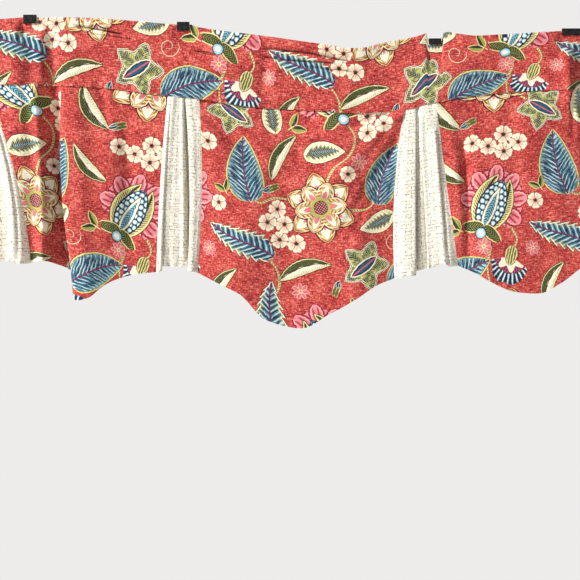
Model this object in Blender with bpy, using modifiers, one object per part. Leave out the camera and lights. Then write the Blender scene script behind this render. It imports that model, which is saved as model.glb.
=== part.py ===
"""A scalloped window valance, hung by its top edge from six black spring clips.

The frame has +X to the right as one faces the valance, +Z up, and -Y towards the viewer. The origin is on the top
edge, in the middle of the middle scallop, in the plane of the wall that the clips' backs stand against.

The cloth is worked out in millimetres, as (x, depth, z), where depth is the distance in front of that wall.
"""

import math

import bmesh
import bpy
import numpy as np
from mathutils import Matrix

MM = 0.001

# ---------------------------------------------------------------- driving sizes, mm
CLOTH = 1.2  # thickness of every sheet
SEWN_GAP = 0.4  # from a sheet's edge to the line it is sewn along
SEAM_GAP = 0.2  # the same, up and down, at the seam under the header
PLEAT_DROP = 280.0  # from the header's seam to the hem, beside a pleat
STITCH_DOWN = 20.0  # the heading's stitching, below the top edge
STITCH_SOFT = 6.0  # how wide its furrow is
HEADER_LAYERS = 3.2  # between the header's two layers, middle to middle
PINCHED_LAYERS = 1.7  # the same, in a clip
PINCHED_DEPTH = 4.8  # depth of the front layer in a clip
GRIP_DOWN = 17.0  # how far down a clip holds the layers together
GRIP_FADES = 24.0  # and over what length they part below it
LIP_DROP = 7.0  # how far the top edge's front sags below its back, at most
LIP_OPEN = 5.0  # how far the two stand apart there
LIP_CLOSES = 45.0  # and over what length they come together below it

PLATE = 2.2  # thickness of a clip's two jaws
BRIDGE = 3.2  # thickness of what joins them, over the cloth
CLIP_CLEAR = 0.3  # between a jaw and the cloth
CLIP_EDGE = 0.5  # rounding of a clip's edges
BACK_LONGER = 2.0  # a clip's back jaw reaches this far below its front one

COLUMN = 19.0  # widest step between two columns of a panel or a pleat
HEADER_COLUMN = 21.0  # about the step between two columns of the header
ROW = 28.0  # and between two rows

# ---------------------------------------------------------------- the header, at stations along its width
# x, then the heights of the top edge and of the seam below, then the depth of the cloth at its top, belly and seam
HEADER = np.array(
    [
        # x     top    seam   d_top d_belly d_seam
        (-611, 29.0, -70.0, 5.0, 6.0, 7.0),  # left end
        (-586, 33.0, -71.0, 5.0, 7.0, 9.0),
        (-547, 33.0, -72.0, 6.0, 10.0, 12.0),
        (-496, 33.0, -72.0, 7.0, 11.0, 13.0),
        (-464, 35.0, -72.0, 6.0, 12.5, 15.0),
        (-427, 37.0, -73.0, 5.0, 12.0, 14.0),
        (-389, 37.0, -73.0, 6.0, 8.0, 6.5),
        (-377, 37.0, -73.5, 7.0, 11.0, 13.0),
        (-366, 37.0, -74.0, 7.5, 12.0, 16.5),  # the left scallop's fold
        (-350, 36.5, -75.0, 8.0, 12.0, 15.0),
        (-310, 35.0, -77.0, 9.0, 11.0, 12.0),
        (-259, 31.0, -83.0, 8.0, 10.0, 11.0),
        (-205, 26.5, -90.0, 6.0, 10.0, 13.5),
        (-181, 25.5, -91.5, 5.0, 10.0, 15.0),
        (-155, 21.0, -94.5, 6.0, 10.0, 14.0),
        (-118, 15.0, -100.0, 9.0, 10.5, 12.0),
        (-74, 9.5, -107.0, 12.0, 12.0, 10.5),
        (-34, 4.0, -110.0, 14.0, 13.0, 10.0),
        (6, -2.0, -112.0, 16.0, 14.0, 10.0),
        (54, -9.0, -114.5, 17.0, 15.0, 10.5),  # leans furthest forward
        (80, -13.5, -117.0, 16.5, 14.5, 11.0),
        (100, -13.5, -117.5, 15.0, 13.5, 12.0),  # the lowest point
        (141, -4.0, -115.0, 11.0, 12.0, 14.0),
        (173, 2.0, -112.0, 8.0, 12.0, 15.5),
        (192, 6.0, -108.5, 7.0, 12.0, 16.0),
        (205, 10.0, -103.5, 6.0, 12.0, 16.0),
        (223, 12.0, -100.5, 5.0, 11.0, 15.5),
        (241, 13.5, -97.5, 6.0, 11.0, 14.0),
        (262, 11.0, -93.5, 9.0, 12.0, 12.0),
        (286, 8.0, -89.0, 12.0, 13.0, 10.5),
        (326, 10.0, -85.0, 13.0, 13.0, 10.0),
        (366, 12.0, -82.0, 12.0, 13.0, 10.5),
        (400, 14.0, -80.5, 9.0, 13.5, 13.0),
        (426, 15.0, -80.0, 6.5, 14.0, 16.0),
        (441, 15.0, -79.5, 5.0, 14.5, 18.0),  # the header's own fold
        (452, 15.0, -79.0, 5.0, 9.0, 12.0),
        (464, 15.0, -78.5, 5.0, 6.5, 8.0),
        (496, 12.0, -78.0, 7.0, 9.0, 11.0),
        (547, 12.0, -77.0, 6.0, 10.0, 12.0),
        (582, 16.0, -76.0, 5.0, 7.0, 9.0),
        (611, 13.0, -75.0, 5.0, 6.0, 7.0),  # right end
    ]
)
BELLY_DOWN = 45.0  # how far below the top edge the belly is

# Rows of its mesh, as shares of the way from the seam to the top edge, up the front and then down the back
FRONT_ROWS = (0.0, 0.22, 0.44, 0.62, 0.73, 0.81, 0.90, 1.0)
BACK_ROWS = (1.0, 0.81, 0.5, 0.0)
FOLD_ROUND = 1.1  # how far below the top edge the two layers turn into its fold
BACK_SHORT = 1.0  # the back layer ends this far above the front one
# The fold between them: share of the way back, rise above the top edge, and share of the lip's sag
CROWN = (
    (0.15, -0.2, 1.0),
    (0.50, 0.2, 1.45),
    (0.85, -0.2, 0.0),
)

# Where the top edge is doubled forward: x where it starts, is deepest and ends
LIP = (243.0, 318.0, 425.0)
# The heading's furrow: x where it deepens and ends, its depth there, and its depth everywhere else
FURROW = (-150.0, 92.0, 5.5, 1.2)
FURROW_RUN_OUT = 45.0  # the length over which it deepens

# name, x, width and height of a clip's front jaw, and how far it pulls the top edge down
CLIPS = [
    ("clip_1", -586.0, 20.0, 14.0, 0.0),
    ("clip_2", -427.0, 21.0, 14.0, 0.0),
    ("clip_3", -181.0, 20.0, 14.0, 0.0),
    ("clip_4", 223.0, 20.0, 9.5, 13.0),
    ("clip_5", 447.0, 40.0, 11.0, 0.0),
    ("clip_6", 582.0, 20.0, 14.0, 0.0),
]
CLIP_ABOVE = 4.6  # how far a jaw's top stands above the cloth
HOLD_BESIDE = 1.0  # the cloth stays pinched this far beside a jaw
HOLD_FADES = 9.0  # and is free this much further out
EAR = 3.0  # width of the step where a clip pulls the edge down

# ---------------------------------------------------------------- the printed panels, at stations along their width
# x at the seam, (x, depth) halfway down and (x, depth) at the hem, and the cut length from seam to hem
PANELS = {
    "panel_left": [
        # x_seam x_mid d_mid x_hem d_hem drop
        (-496, -448, 13.0, -424, 12.0, 283),
        (-464, -422, 16.0, -403, 15.0, 281),
        (-429, -397, 9.0, -378, 7.5, 287),
        (-400, -371, 4.0, -349, 4.0, 302),
        (-385, -346, 6.0, -320, 6.0, 318),  # turns back behind the fold
        (-378, -357, 12.0, -336, 12.0, 330),
        (-374, -376, 17.5, -361, 17.0, 339),  # the fold's edge
        (-367, -371, 22.5, -356, 23.5, 342),
        (-350, -354, 23.5, -339, 25.5, 338),
        (-318, -325, 19.0, -314, 21.0, 319),
        (-288, -296, 16.0, -292, 17.0, 305),
        (-245, -258, 13.5, -260, 14.0, 290),
        (-205, -217, 13.0, -223, 12.5, 280),
    ],
    "panel_middle": [
        (-155, -150, 14.0, -158, 13.0, 277),
        (-118, -121, 18.0, -130, 18.0, 286),
        (-74, -80, 20.0, -90, 22.0, 299),
        (-34, -38, 18.0, -45, 20.0, 338),
        (6, 5, 15.0, 6, 17.0, 349),  # the scallop's tip
        (54, 53, 17.0, 54, 19.0, 323),
        (98, 94, 19.0, 94, 22.0, 298),
        (141, 131, 15.5, 132, 17.0, 276),
        (173, 157, 13.5, 159, 12.5, 268),
    ],
    "panel_right": [
        (224, 242, 13.5, 262, 12.5, 260),
        (254, 267, 16.0, 286, 18.0, 277),
        (286, 296, 18.0, 314, 21.0, 300),
        (326, 333, 19.5, 349, 21.0, 318),
        (366, 371, 21.0, 386, 20.0, 323),  # the scallop's tip
        (406, 410, 22.0, 422, 22.0, 308),
        (441, 447, 20.0, 459, 22.0, 283),
        (470, 476, 14.0, 485, 17.0, 274),
        (496, 502, 12.5, 509, 12.5, 271),
    ],
    "end_left": [
        (-611, -606, 7.0, -602, 8.0, 280),
        (-579, -573, 9.0, -570, 10.0, 281),
        (-547, -541, 11.0, -538, 11.5, 282),
    ],
    "end_right": [
        (547, 566, 11.0, 576, 11.5, 278),
        (579, 598, 9.0, 608, 10.0, 279),
        (611, 630, 7.0, 639, 8.0, 280),
    ],
}

# ---------------------------------------------------------------- the pleats
# Each is one plain strip, folded back and forth. For its seam, its middle height and its hem: x of its left sewn edge,
# of the left fold, of the left turn hidden behind it, of the right turn, of the right fold and of the right sewn edge,
# then the depth of the sewn edges, of the folds in front and of the floor between them
PLEATS = {
    "pleat_1": [
        # left   fold   turn   turn   fold   right  d_sewn d_front d_floor
        (-547.0, -525.0, -541.0, -502.0, -519.0, -496.0, 12.5, 13.5, 8.0),
        (-541.0, -518.0, -530.0, -457.0, -471.0, -448.0, 12.0, 16.5, 5.5),
        (-538.0, -512.0, -522.0, -448.0, -461.0, -424.0, 11.5, 18.0, 5.0),
    ],
    "pleat_2": [
        (-205.0, -198.0, -202.0, -160.0, -177.0, -155.0, 13.5, 15.0, 9.5),
        (-217.0, -209.5, -213.0, -156.0, -170.0, -150.0, 13.0, 16.5, 7.0),
        (-223.0, -214.5, -218.0, -160.0, -173.0, -158.0, 12.5, 17.5, 6.5),
    ],
    "pleat_3": [
        (173.0, 194.0, 178.0, 213.0, 197.0, 224.0, 15.5, 16.5, 11.0),
        (157.0, 192.0, 178.0, 218.0, 205.0, 242.0, 13.5, 19.0, 7.0),
        (159.0, 192.0, 180.0, 224.0, 212.0, 262.0, 12.5, 21.0, 6.0),
    ],
    "pleat_4": [
        (496.0, 519.0, 501.0, 541.0, 523.5, 547.0, 11.5, 13.5, 8.0),
        (502.0, 529.0, 518.0, 552.0, 541.0, 566.0, 12.0, 16.5, 5.5),
        (509.0, 537.0, 529.0, 560.0, 549.0, 576.0, 11.5, 18.0, 5.0),
    ],
}
NOSE = 1.8  # half the height of a fold's rounded edge
# cut length at the left sewn edge, on the floor and at the right sewn edge
PLEAT_DROPS = {
    "pleat_1": (282, 280, 283),
    "pleat_2": (279, 270, 276),
    "pleat_3": (268, 260, 258),
    "pleat_4": (271, 272, 278),
}

# ---------------------------------------------------------------- creases in the cloth
# Soft ridges and troughs: the sheet that has it, its two ends as (share of the width, mm below the seam), half its
# width and its height, which is negative for a trough
CREASES = [
    ("panel_middle", (0.62, 130.0), (0.97, 8.0), 11.0, 4.0),
    ("panel_middle", (0.72, 190.0), (0.97, 50.0), 9.0, -3.5),
    ("panel_middle", (0.05, 10.0), (0.40, 120.0), 14.0, -2.5),
    ("panel_right", (0.10, 40.0), (0.16, 230.0), 9.0, -3.0),
    ("panel_left", (0.80, 60.0), (0.86, 240.0), 10.0, -2.5),
    ("pleat_3", (0.93, 60.0), (0.92, 258.0), 5.0, -4.0),
    ("pleat_1", (0.86, 60.0), (0.80, 262.0), 5.0, -3.5),
]


# ---------------------------------------------------------------- smooth curves
def slopes_of(knots, values):
    """Slopes of the curve through the values that never overshoots them. Values run along axis 0."""
    step = np.diff(knots).reshape((-1,) + (1,) * (values.ndim - 1))
    rise = np.diff(values, axis=0) / step
    slopes = np.empty_like(values, dtype=float)
    slopes[0], slopes[-1] = rise[0], rise[-1]
    before, after = rise[:-1], rise[1:]
    w_before = 2 * step[1:] + step[:-1]
    w_after = step[1:] + 2 * step[:-1]
    turns = before * after <= 0
    safe_before = np.where(turns, 1.0, before)
    safe_after = np.where(turns, 1.0, after)
    mean = (w_before + w_after) / (w_before / safe_before + w_after / safe_after)
    slopes[1:-1] = np.where(turns, 0.0, mean)
    return slopes


def smooth(knots, values, at):
    """The values between the knots, on that curve. With 2-D values, each column of `at` has its own row of values."""
    knots = np.asarray(knots, float)
    values = np.asarray(values, float)
    slopes = slopes_of(knots, values)
    at = np.clip(np.asarray(at, float), knots[0], knots[-1])
    i = np.clip(np.searchsorted(knots, at, side="right") - 1, 0, len(knots) - 2)
    step = knots[i + 1] - knots[i]
    f = (at - knots[i]) / step
    pick = (i,) if values.ndim == 1 else (i, np.arange(values.shape[1]))
    nxt = (i + 1,) if values.ndim == 1 else (i + 1, np.arange(values.shape[1]))
    start, end = values[pick], values[nxt]
    leave, arrive = slopes[pick] * step, slopes[nxt] * step
    return (
        start * (1 + 2 * f) * (1 - f) ** 2
        + leave * f * (1 - f) ** 2
        + end * f * f * (3 - 2 * f)
        - arrive * f * f * (1 - f)
    )


def ease(share):
    """0 up to 0, 1 from 1 on, and a soft rise between."""
    share = np.clip(share, 0.0, 1.0)
    return share * share * (3 - 2 * share)


def header_at(x, column):
    """A column of the header's table, at x."""
    return smooth(HEADER[:, 0], HEADER[:, column], x)


def held(x, beside=HOLD_BESIDE, fades=HOLD_FADES):
    """1 in a clip and just beside it, 0 where the cloth is free."""
    most = np.zeros_like(np.asarray(x, float))
    for _, at, width, _, _ in CLIPS:
        away = np.abs(x - at) - width / 2 - beside
        most = np.maximum(most, 1 - ease(away / fades))
    return most


def top_edge(x):
    """Height of the top edge. It is level in a clip, and some clips pull it down."""
    height = header_at(x, 1)
    for _, at, width, _, pulled in CLIPS:
        away = np.abs(x - at) - width / 2 - HOLD_BESIDE
        in_clip = 1 - ease(away / HOLD_FADES)
        height = height + (header_at(at, 1) - height) * in_clip
        height = height - pulled * (1 - ease(away / EAR))
    return height


def lip_at(x):
    """0 where the top edge is a plain fold, and 1 where its front sags most."""
    start, deepest, end = LIP
    rising = ease((x - start) / (deepest - start))
    falling = 1 - ease((x - deepest) / (end - deepest))
    return np.where(x < deepest, rising, falling)


def furrow_at(x):
    """Depth of the furrow along the heading's stitching."""
    start, end, deep, shallow = FURROW
    inside = ease((x - start) / FURROW_RUN_OUT) * (1 - ease((x - end + FURROW_RUN_OUT) / FURROW_RUN_OUT))
    return shallow + (deep - shallow) * inside


# ---------------------------------------------------------------- the header's two layers
def front_depth(x, down):
    """Depth of the header's front layer, `down` below the top edge."""
    length = top_edge(x) - header_at(x, 2)
    belly = np.minimum(BELLY_DOWN, 0.5 * length)
    share = np.where(down < belly, 0.5 * down / belly, 0.5 + 0.5 * (down - belly) / (length - belly))
    share = np.clip(share, 0.0, 1.0)
    top, middle, seam = header_at(x, 3), header_at(x, 4), header_at(x, 5)
    depth = top * (1 - share) ** 2 + 2 * (2 * middle - (top + seam) / 2) * share * (1 - share) + seam * share**2
    depth = depth - furrow_at(x) * np.exp(-(((down - STITCH_DOWN) / STITCH_SOFT) ** 2))
    grip = held(x) * (1 - ease((down - GRIP_DOWN) / GRIP_FADES))
    return depth + (PINCHED_DEPTH - depth) * grip


def layers_apart(x, down):
    """Between the header's layers, `down` below the top edge."""
    grip = held(x) * (1 - ease((down - GRIP_DOWN) / GRIP_FADES))
    parted = HEADER_LAYERS + LIP_OPEN * lip_at(x) * (1 - ease(down / LIP_CLOSES))
    return parted + (PINCHED_LAYERS - parted) * grip


def header_path(x):
    """Points (depth, z) of one column of the header: up its front, over the top edge and down its back."""
    top = float(top_edge(x))
    seam = float(header_at(x, 2)) + SEAM_GAP
    sag = LIP_DROP * float(lip_at(x))
    points = []
    for share in FRONT_ROWS:
        z = seam + share * (top - sag - FOLD_ROUND - seam)
        points.append((float(front_depth(x, top - sag - z)), z))
    edge = float(front_depth(x, 0.0))
    apart = float(layers_apart(x, 0.0))
    for back, rise, sagged in CROWN:
        points.append((edge - back * apart, top + rise - sagged * sag))
    foot = seam + BACK_SHORT
    for share in BACK_ROWS:
        z = foot + share * (top - FOLD_ROUND - foot)
        points.append((float(front_depth(x, top - z) - layers_apart(x, top - z)), z))
    return points


# ---------------------------------------------------------------- the skirt's panels and pleats
def by_height(three, share):
    """What lies between values at the seam, halfway down and at the hem, at this share of the pleats' drop."""
    share = np.where(share > 1, 1 + 0.5 * (share - 1), share)
    seam, middle, hem = three
    return (
        seam * (1 - share) * (1 - 2 * share)
        + middle * 4 * share * (1 - share)
        + hem * share * (2 * share - 1)
    )


def pleat_line(left, fold_l, turn_l, turn_r, fold_r, right, d_sewn, d_front, d_floor):
    """A pleat's section as points (x, depth), from its left sewn edge to its right one."""
    halfway = (d_front + d_floor) / 2
    return [
        (left, d_sewn),
        (left + 0.5 * (fold_l - left), d_front),
        (fold_l - 1.5, d_front + 0.2),
        (fold_l, d_front - NOSE),
        ((fold_l + turn_l) / 2, halfway),
        (turn_l, d_floor + NOSE),
        (turn_l + 2.0, d_floor),
        ((turn_l + turn_r) / 2, d_floor + 0.4),
        (turn_r - 2.0, d_floor),
        (turn_r, d_floor + NOSE),
        ((fold_r + turn_r) / 2, halfway),
        (fold_r, d_front - NOSE),
        (fold_r + 1.5, d_front + 0.2),
        (right + 0.5 * (fold_r - right), d_front),
        (right, d_sewn),
    ]


class Sheet:
    """A piece of the skirt: its section at three heights, and its cut."""

    def __init__(self, name):
        self.name = name
        if name in PLEATS:
            lines = np.array([pleat_line(*row) for row in PLEATS[name]])
            left, floor, right = PLEAT_DROPS[name]
            self.drops = np.interp(np.linspace(0, 1, lines.shape[1]), (0.2, 0.5, 0.8), (left, floor, right))
        else:
            table = np.array(PANELS[name], float)
            at_seam = np.stack([table[:, 0], header_at(table[:, 0], 5)], axis=1)
            lines = np.stack([at_seam, table[:, 1:3], table[:, 3:5]])
            self.drops = table[:, 5]
        self.lines = lines
        steps = np.linalg.norm(np.diff(lines, axis=1), axis=2).mean(axis=0)
        self.knots = np.concatenate([[0.0], np.cumsum(steps)])
        self.width = float(self.knots[-1])

    def drop(self, across):
        return smooth(self.knots, self.drops, across)

    def crease(self, across, down):
        """How far the creases lift the cloth towards the viewer."""
        lift = np.zeros_like(across)
        for name, start, end, half, height in CREASES:
            if name != self.name:
                continue
            ax, ay = start[0] * self.width, start[1]
            bx, by = end[0] * self.width, end[1]
            length = math.hypot(bx - ax, by - ay)
            along = ((across - ax) * (bx - ax) + (down - ay) * (by - ay)) / length
            aside = ((across - ax) * (by - ay) - (down - ay) * (bx - ax)) / length
            past = np.maximum(0, np.maximum(-along, along - length)) / (2 * half)
            lift = lift + height * np.exp(-((aside / half) ** 2) - past**2)
        return lift

    def place(self, across, down):
        """(x, depth, z) of the cloth's points `across` its width and `down` from the seam, all flat arrays."""
        share = down / PLEAT_DROP
        levels = self.lines[:, :, None, :]  # height, station, point, (x, depth)
        at_height = by_height(levels, share[None, :, None])
        x = smooth(self.knots, at_height[..., 0], across)
        depth = smooth(self.knots, at_height[..., 1], across)
        x_seam = smooth(self.knots, self.lines[0, :, 0], across)
        z = header_at(x_seam, 2) - SEAM_GAP - down
        return x, depth + self.crease(across, down), z

    def columns(self):
        """Where the columns of its mesh are: at each station, and between those that are far apart."""
        at = []
        for start, end in zip(self.knots, self.knots[1:]):
            count = max(1, math.ceil((end - start) / COLUMN))
            at += [start + (end - start) * i / count for i in range(count)]
        at.append(self.width)
        at[0] += SEWN_GAP
        at[-1] -= SEWN_GAP
        return np.array(at)


# ---------------------------------------------------------------- Blender objects
def material(name, colour, roughness, metallic=0.0):
    made = bpy.data.materials.new(name)
    made.use_nodes = True
    shader = made.node_tree.nodes["Principled BSDF"]
    shader.inputs["Base Color"].default_value = (*colour, 1.0)
    shader.inputs["Roughness"].default_value = roughness
    shader.inputs["Metallic"].default_value = metallic
    return made


def sheet_object(name, places, paint, collection):
    """A closed sheet of cloth through a grid of places, given as rows of (x, depth, z) in mm."""
    rows, columns = places.shape[:2]
    bm = bmesh.new()
    bmesh.ops.create_grid(bm, x_segments=columns - 1, y_segments=rows - 1, size=1.0)
    bm.verts.ensure_lookup_table()
    for index, vert in enumerate(bm.verts):
        x, depth, z = places[index // columns, index % columns]
        vert.co = (x * MM, -depth * MM, z * MM)
    mesh = bpy.data.meshes.new(name)
    bm.to_mesh(mesh)
    bm.free()
    mesh.materials.append(paint)
    mesh.shade_smooth()
    made = bpy.data.objects.new(name, mesh)
    collection.objects.link(made)
    solid = made.modifiers.new("thickness", "SOLIDIFY")
    solid.thickness = CLOTH * MM
    solid.offset = 0.0
    return made


def make_header(paint, collection):
    """The header: one strip, folded double over its top edge."""
    ends = HEADER[0, 0], HEADER[-1, 0]
    stops = {*ends, *LIP}
    for _, at, width, _, pulled in CLIPS:
        reach = width / 2 + HOLD_BESIDE
        stops |= {at - reach, at, at + reach}
        if pulled:
            stops |= {at - reach - EAR, at + reach + EAR}
    stops = sorted(x for x in stops if ends[0] <= x <= ends[1])
    across = []
    for start, end in zip(stops, stops[1:]):
        count = max(1, round((end - start) / HEADER_COLUMN))
        across += [start + (end - start) * i / count for i in range(count)]
    across.append(stops[-1])
    places = np.array([[(x, depth, z) for depth, z in header_path(x)] for x in across])
    return sheet_object("header", places.transpose(1, 0, 2), paint, collection)


def make_skirt_piece(name, paint, collection):
    sheet = Sheet(name)
    across = sheet.columns()
    rows = math.ceil(sheet.drops.max() / ROW)
    shares = np.linspace(0, 1, rows + 1)
    grid = [np.stack(sheet.place(across, sheet.drop(across) * share), axis=1) for share in shares]
    return sheet_object(name, np.array(grid), paint, collection)


def make_clip(name, at, width, height, pulled, paint, collection):
    """A clip: two jaws joined over the cloth's top edge, one bent strip as wide as its jaw."""
    inner_back = PINCHED_DEPTH - PINCHED_LAYERS - CLOTH / 2 - CLIP_CLEAR
    inner_front = PINCHED_DEPTH + CLOTH / 2 + CLIP_CLEAR
    top = float(header_at(at, 1)) - pulled + CLIP_ABOVE
    foot = top - height
    outline = [
        (0.0, foot - BACK_LONGER),
        (0.0, top),
        (inner_front + PLATE, top),
        (inner_front + PLATE, foot),
        (inner_front, foot),
        (inner_front, top - BRIDGE),
        (inner_back, top - BRIDGE),
        (inner_back, foot - BACK_LONGER),
    ]
    curve = bpy.data.curves.new(name, "CURVE")
    curve.dimensions = "2D"
    curve.fill_mode = "BOTH"
    curve.extrude = width / 2 * MM
    spline = curve.splines.new("POLY")
    spline.points.add(len(outline) - 1)
    for point, (depth, z) in zip(spline.points, outline):
        point.co = (-depth * MM, z * MM, 0.0, 1.0)
    spline.use_cyclic_u = True
    curve.materials.append(paint)
    made = bpy.data.objects.new(name, curve)
    collection.objects.link(made)
    made.matrix_world = Matrix(((0, 0, 1, at * MM), (1, 0, 0, 0), (0, 1, 0, 0), (0, 0, 0, 1)))
    weld = made.modifiers.new("weld", "WELD")
    weld.merge_threshold = 0.00001
    bevel = made.modifiers.new("edges", "BEVEL")
    bevel.width = CLIP_EDGE * MM
    bevel.segments = 2
    bevel.limit_method = "ANGLE"
    return made


def main():
    for old in list(bpy.data.objects):
        bpy.data.objects.remove(old)
    valance = bpy.data.collections.new("window_valance")
    bpy.context.scene.collection.children.link(valance)
    print_cloth = material("print_cloth", (0.62, 0.09, 0.07), 0.85)
    plain_cloth = material("plain_cloth", (0.80, 0.75, 0.63), 0.9)
    black = material("black_clip", (0.012, 0.012, 0.013), 0.45)
    make_header(print_cloth, valance)
    for name in PANELS:
        make_skirt_piece(name, print_cloth, valance)
    for name in PLEATS:
        make_skirt_piece(name, plain_cloth, valance)
    for row in CLIPS:
        make_clip(*row, black, valance)


main()
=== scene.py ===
"""The looks of the scalloped window valance: printed cloth, plain crinkled pleats and black clips.

Lengths are in millimetres until a mesh is made. The cloth is worked out as (x, depth, z), where depth is
the distance in front of the plane that the clips' backs stand against. The cloth's own flat coordinates are
(s, t): s to the right along its width and t up from the header's seam.
"""

import math

import bpy
import numpy as np
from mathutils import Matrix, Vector


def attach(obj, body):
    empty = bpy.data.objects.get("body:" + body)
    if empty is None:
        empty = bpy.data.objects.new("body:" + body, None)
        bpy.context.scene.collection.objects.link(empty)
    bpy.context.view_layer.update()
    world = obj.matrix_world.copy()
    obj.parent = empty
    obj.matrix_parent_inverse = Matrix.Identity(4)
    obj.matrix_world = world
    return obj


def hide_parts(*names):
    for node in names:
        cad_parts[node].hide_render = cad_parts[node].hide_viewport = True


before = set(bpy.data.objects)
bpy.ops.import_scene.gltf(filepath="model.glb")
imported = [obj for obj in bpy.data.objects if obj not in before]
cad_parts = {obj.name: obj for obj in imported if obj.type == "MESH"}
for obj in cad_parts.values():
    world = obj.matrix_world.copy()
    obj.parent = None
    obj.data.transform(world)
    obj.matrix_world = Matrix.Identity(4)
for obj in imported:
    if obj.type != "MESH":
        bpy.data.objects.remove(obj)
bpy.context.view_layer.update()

MM = 0.001

# ---------------------------------------------------------------- camera
PIXEL = 1.6  # mm of the valance for each pixel of the 580-pixel picture
PICTURE = 580
PICTURE_MIDDLE = (-9.6, -400.0)  # x, z in the middle of the picture
CAMERA_AWAY = 3000.0
CLOTH_DEPTH = 14.0  # depth at which the picture has that scale
SENSOR = 36.0


def make_camera():
    camera = bpy.data.cameras.new("camera")
    camera.sensor_width = SENSOR
    camera.lens = SENSOR * (CAMERA_AWAY - CLOTH_DEPTH) / (PICTURE * PIXEL)
    seen = bpy.data.objects.new("camera", camera)
    seen.location = (PICTURE_MIDDLE[0] * MM, -CAMERA_AWAY * MM, PICTURE_MIDDLE[1] * MM)
    seen.rotation_euler = (math.radians(90), 0, 0)
    bpy.context.scene.collection.objects.link(seen)
    bpy.context.scene.camera = seen


make_camera()

# ---------------------------------------------------------------- the hang, as in the solids
CLOTH = 1.0  # thickness of the cloth
SEAM_GAP = 0.2  # between the header and what hangs below it
PLEAT_DROP = 280.0  # how far below the seam the last places in the tables are
STITCH_DOWN = 20.0  # from the top edge to the row of stitching
STITCH_SOFT = 6.0  # half the width of its furrow
HEADER_LAYERS = 3.2  # between the header's layers
PINCHED_LAYERS = 1.7  # between them in a clip
PINCHED_DEPTH = 4.8  # depth of the header's front in a clip
GRIP_DOWN = 17.0  # how far down a clip grips
GRIP_FADES = 24.0  # below that the cloth takes up its own shape over this
HOLD_BESIDE = 1.0  # how far beside its jaw a clip grips
HOLD_FADES = 9.0  # beside that the cloth takes up its own shape over this
EAR = 3.0  # beside a clip that pulls it down, the top edge rises again over this
LIP_DROP = 7.0  # how far the front of the top edge sags
LIP_OPEN = 5.0  # how much further apart the layers are there
LIP_CLOSES = 45.0  # how far down they are together again
LIP = (243.0, 318.0, 425.0)  # x where that starts, where it is deepest and where it ends
CROWN = (
    # share of the way to the back layer, height over the top edge, share of the sag
    (0.15, -0.2, 1.0),
    (0.50, 0.2, 1.45),
    (0.85, -0.2, 0.0),
)
FOLD_ROUND = 1.1  # the layers end this far below the top edge
BACK_SHORT = 1.0  # and the back layer this far above the seam
BELLY_DOWN = 45.0  # from the top edge to where the front stands out
FURROW = (-150.0, 92.0, 5.5, 1.2)  # the stitching's deep part: x of both ends, its depth, depth elsewhere
FURROW_RUN_OUT = 45.0  # the length over which it gets deep
NOSE = 1.8  # how far a pleat's fold curves back
FOLD_BEFORE, FOLD_LIFT = 1.5, 0.2  # its front is highest just before the fold
TURN_PAST, FLOOR_LIFT = 2.0, 0.4  # its floor starts just past the turn, and rises a little in the middle
DROP_AT = (0.2, 0.5, 0.8)  # shares of the way through a pleat's section, where its drops are given

HEADER = np.array(
    [
        # x     top    seam   d_top d_belly d_seam
        (-611, 29, -70, 5, 6, 7),
        (-586, 33, -71, 5, 7, 9),
        (-547, 33, -72, 6, 10, 12),
        (-496, 33, -72, 7, 11, 13),
        (-464, 35, -72, 6, 12.5, 15),
        (-427, 37, -73, 5, 12, 14),
        (-389, 37, -73, 6, 8, 6.5),
        (-377, 37, -73.5, 7, 11, 13),
        (-366, 37, -74, 7.5, 12, 16.5),
        (-350, 36.5, -75, 8, 12, 15),
        (-310, 35, -77, 9, 11, 12),
        (-259, 31, -83, 8, 10, 11),
        (-205, 26.5, -90, 6, 10, 13.5),
        (-181, 25.5, -91.5, 5, 10, 15),
        (-155, 21, -94.5, 6, 10, 14),
        (-118, 15, -100, 9, 10.5, 12),
        (-74, 9.5, -107, 12, 12, 10.5),
        (-34, 4, -110, 14, 13, 10),
        (6, -2, -112, 16, 14, 10),
        (54, -9, -114.5, 17, 15, 10.5),
        (80, -13.5, -117, 16.5, 14.5, 11),
        (100, -13.5, -117.5, 15, 13.5, 12),
        (141, -4, -115, 11, 12, 14),
        (173, 2, -112, 8, 12, 15.5),
        (192, 6, -108.5, 7, 12, 16),
        (205, 10, -103.5, 6, 12, 16),
        (223, 12, -100.5, 5, 11, 15.5),
        (241, 13.5, -97.5, 6, 11, 14),
        (262, 11, -93.5, 9, 12, 12),
        (286, 8, -89, 12, 13, 10.5),
        (326, 10, -85, 13, 13, 10),
        (366, 12, -82, 12, 13, 10.5),
        (400, 14, -80.5, 9, 13.5, 13),
        (426, 15, -80, 6.5, 14, 16),
        (441, 15, -79.5, 5, 14.5, 18),
        (452, 15, -79, 5, 9, 12),
        (464, 15, -78.5, 5, 6.5, 8),
        (496, 12, -78, 7, 9, 11),
        (547, 12, -77, 6, 10, 12),
        (582, 16, -76, 5, 7, 9),
        (611, 13, -75, 5, 6, 7),
    ]
)

CLIPS = [
    # name, x, width of its jaw, how far it pulls the top edge down
    ("clip_1", -586, 20, 0),
    ("clip_2", -427, 21, 0),
    ("clip_3", -181, 20, 0),
    ("clip_4", 223, 20, 13),
    ("clip_5", 447, 40, 0),
    ("clip_6", 582, 20, 0),
]

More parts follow.
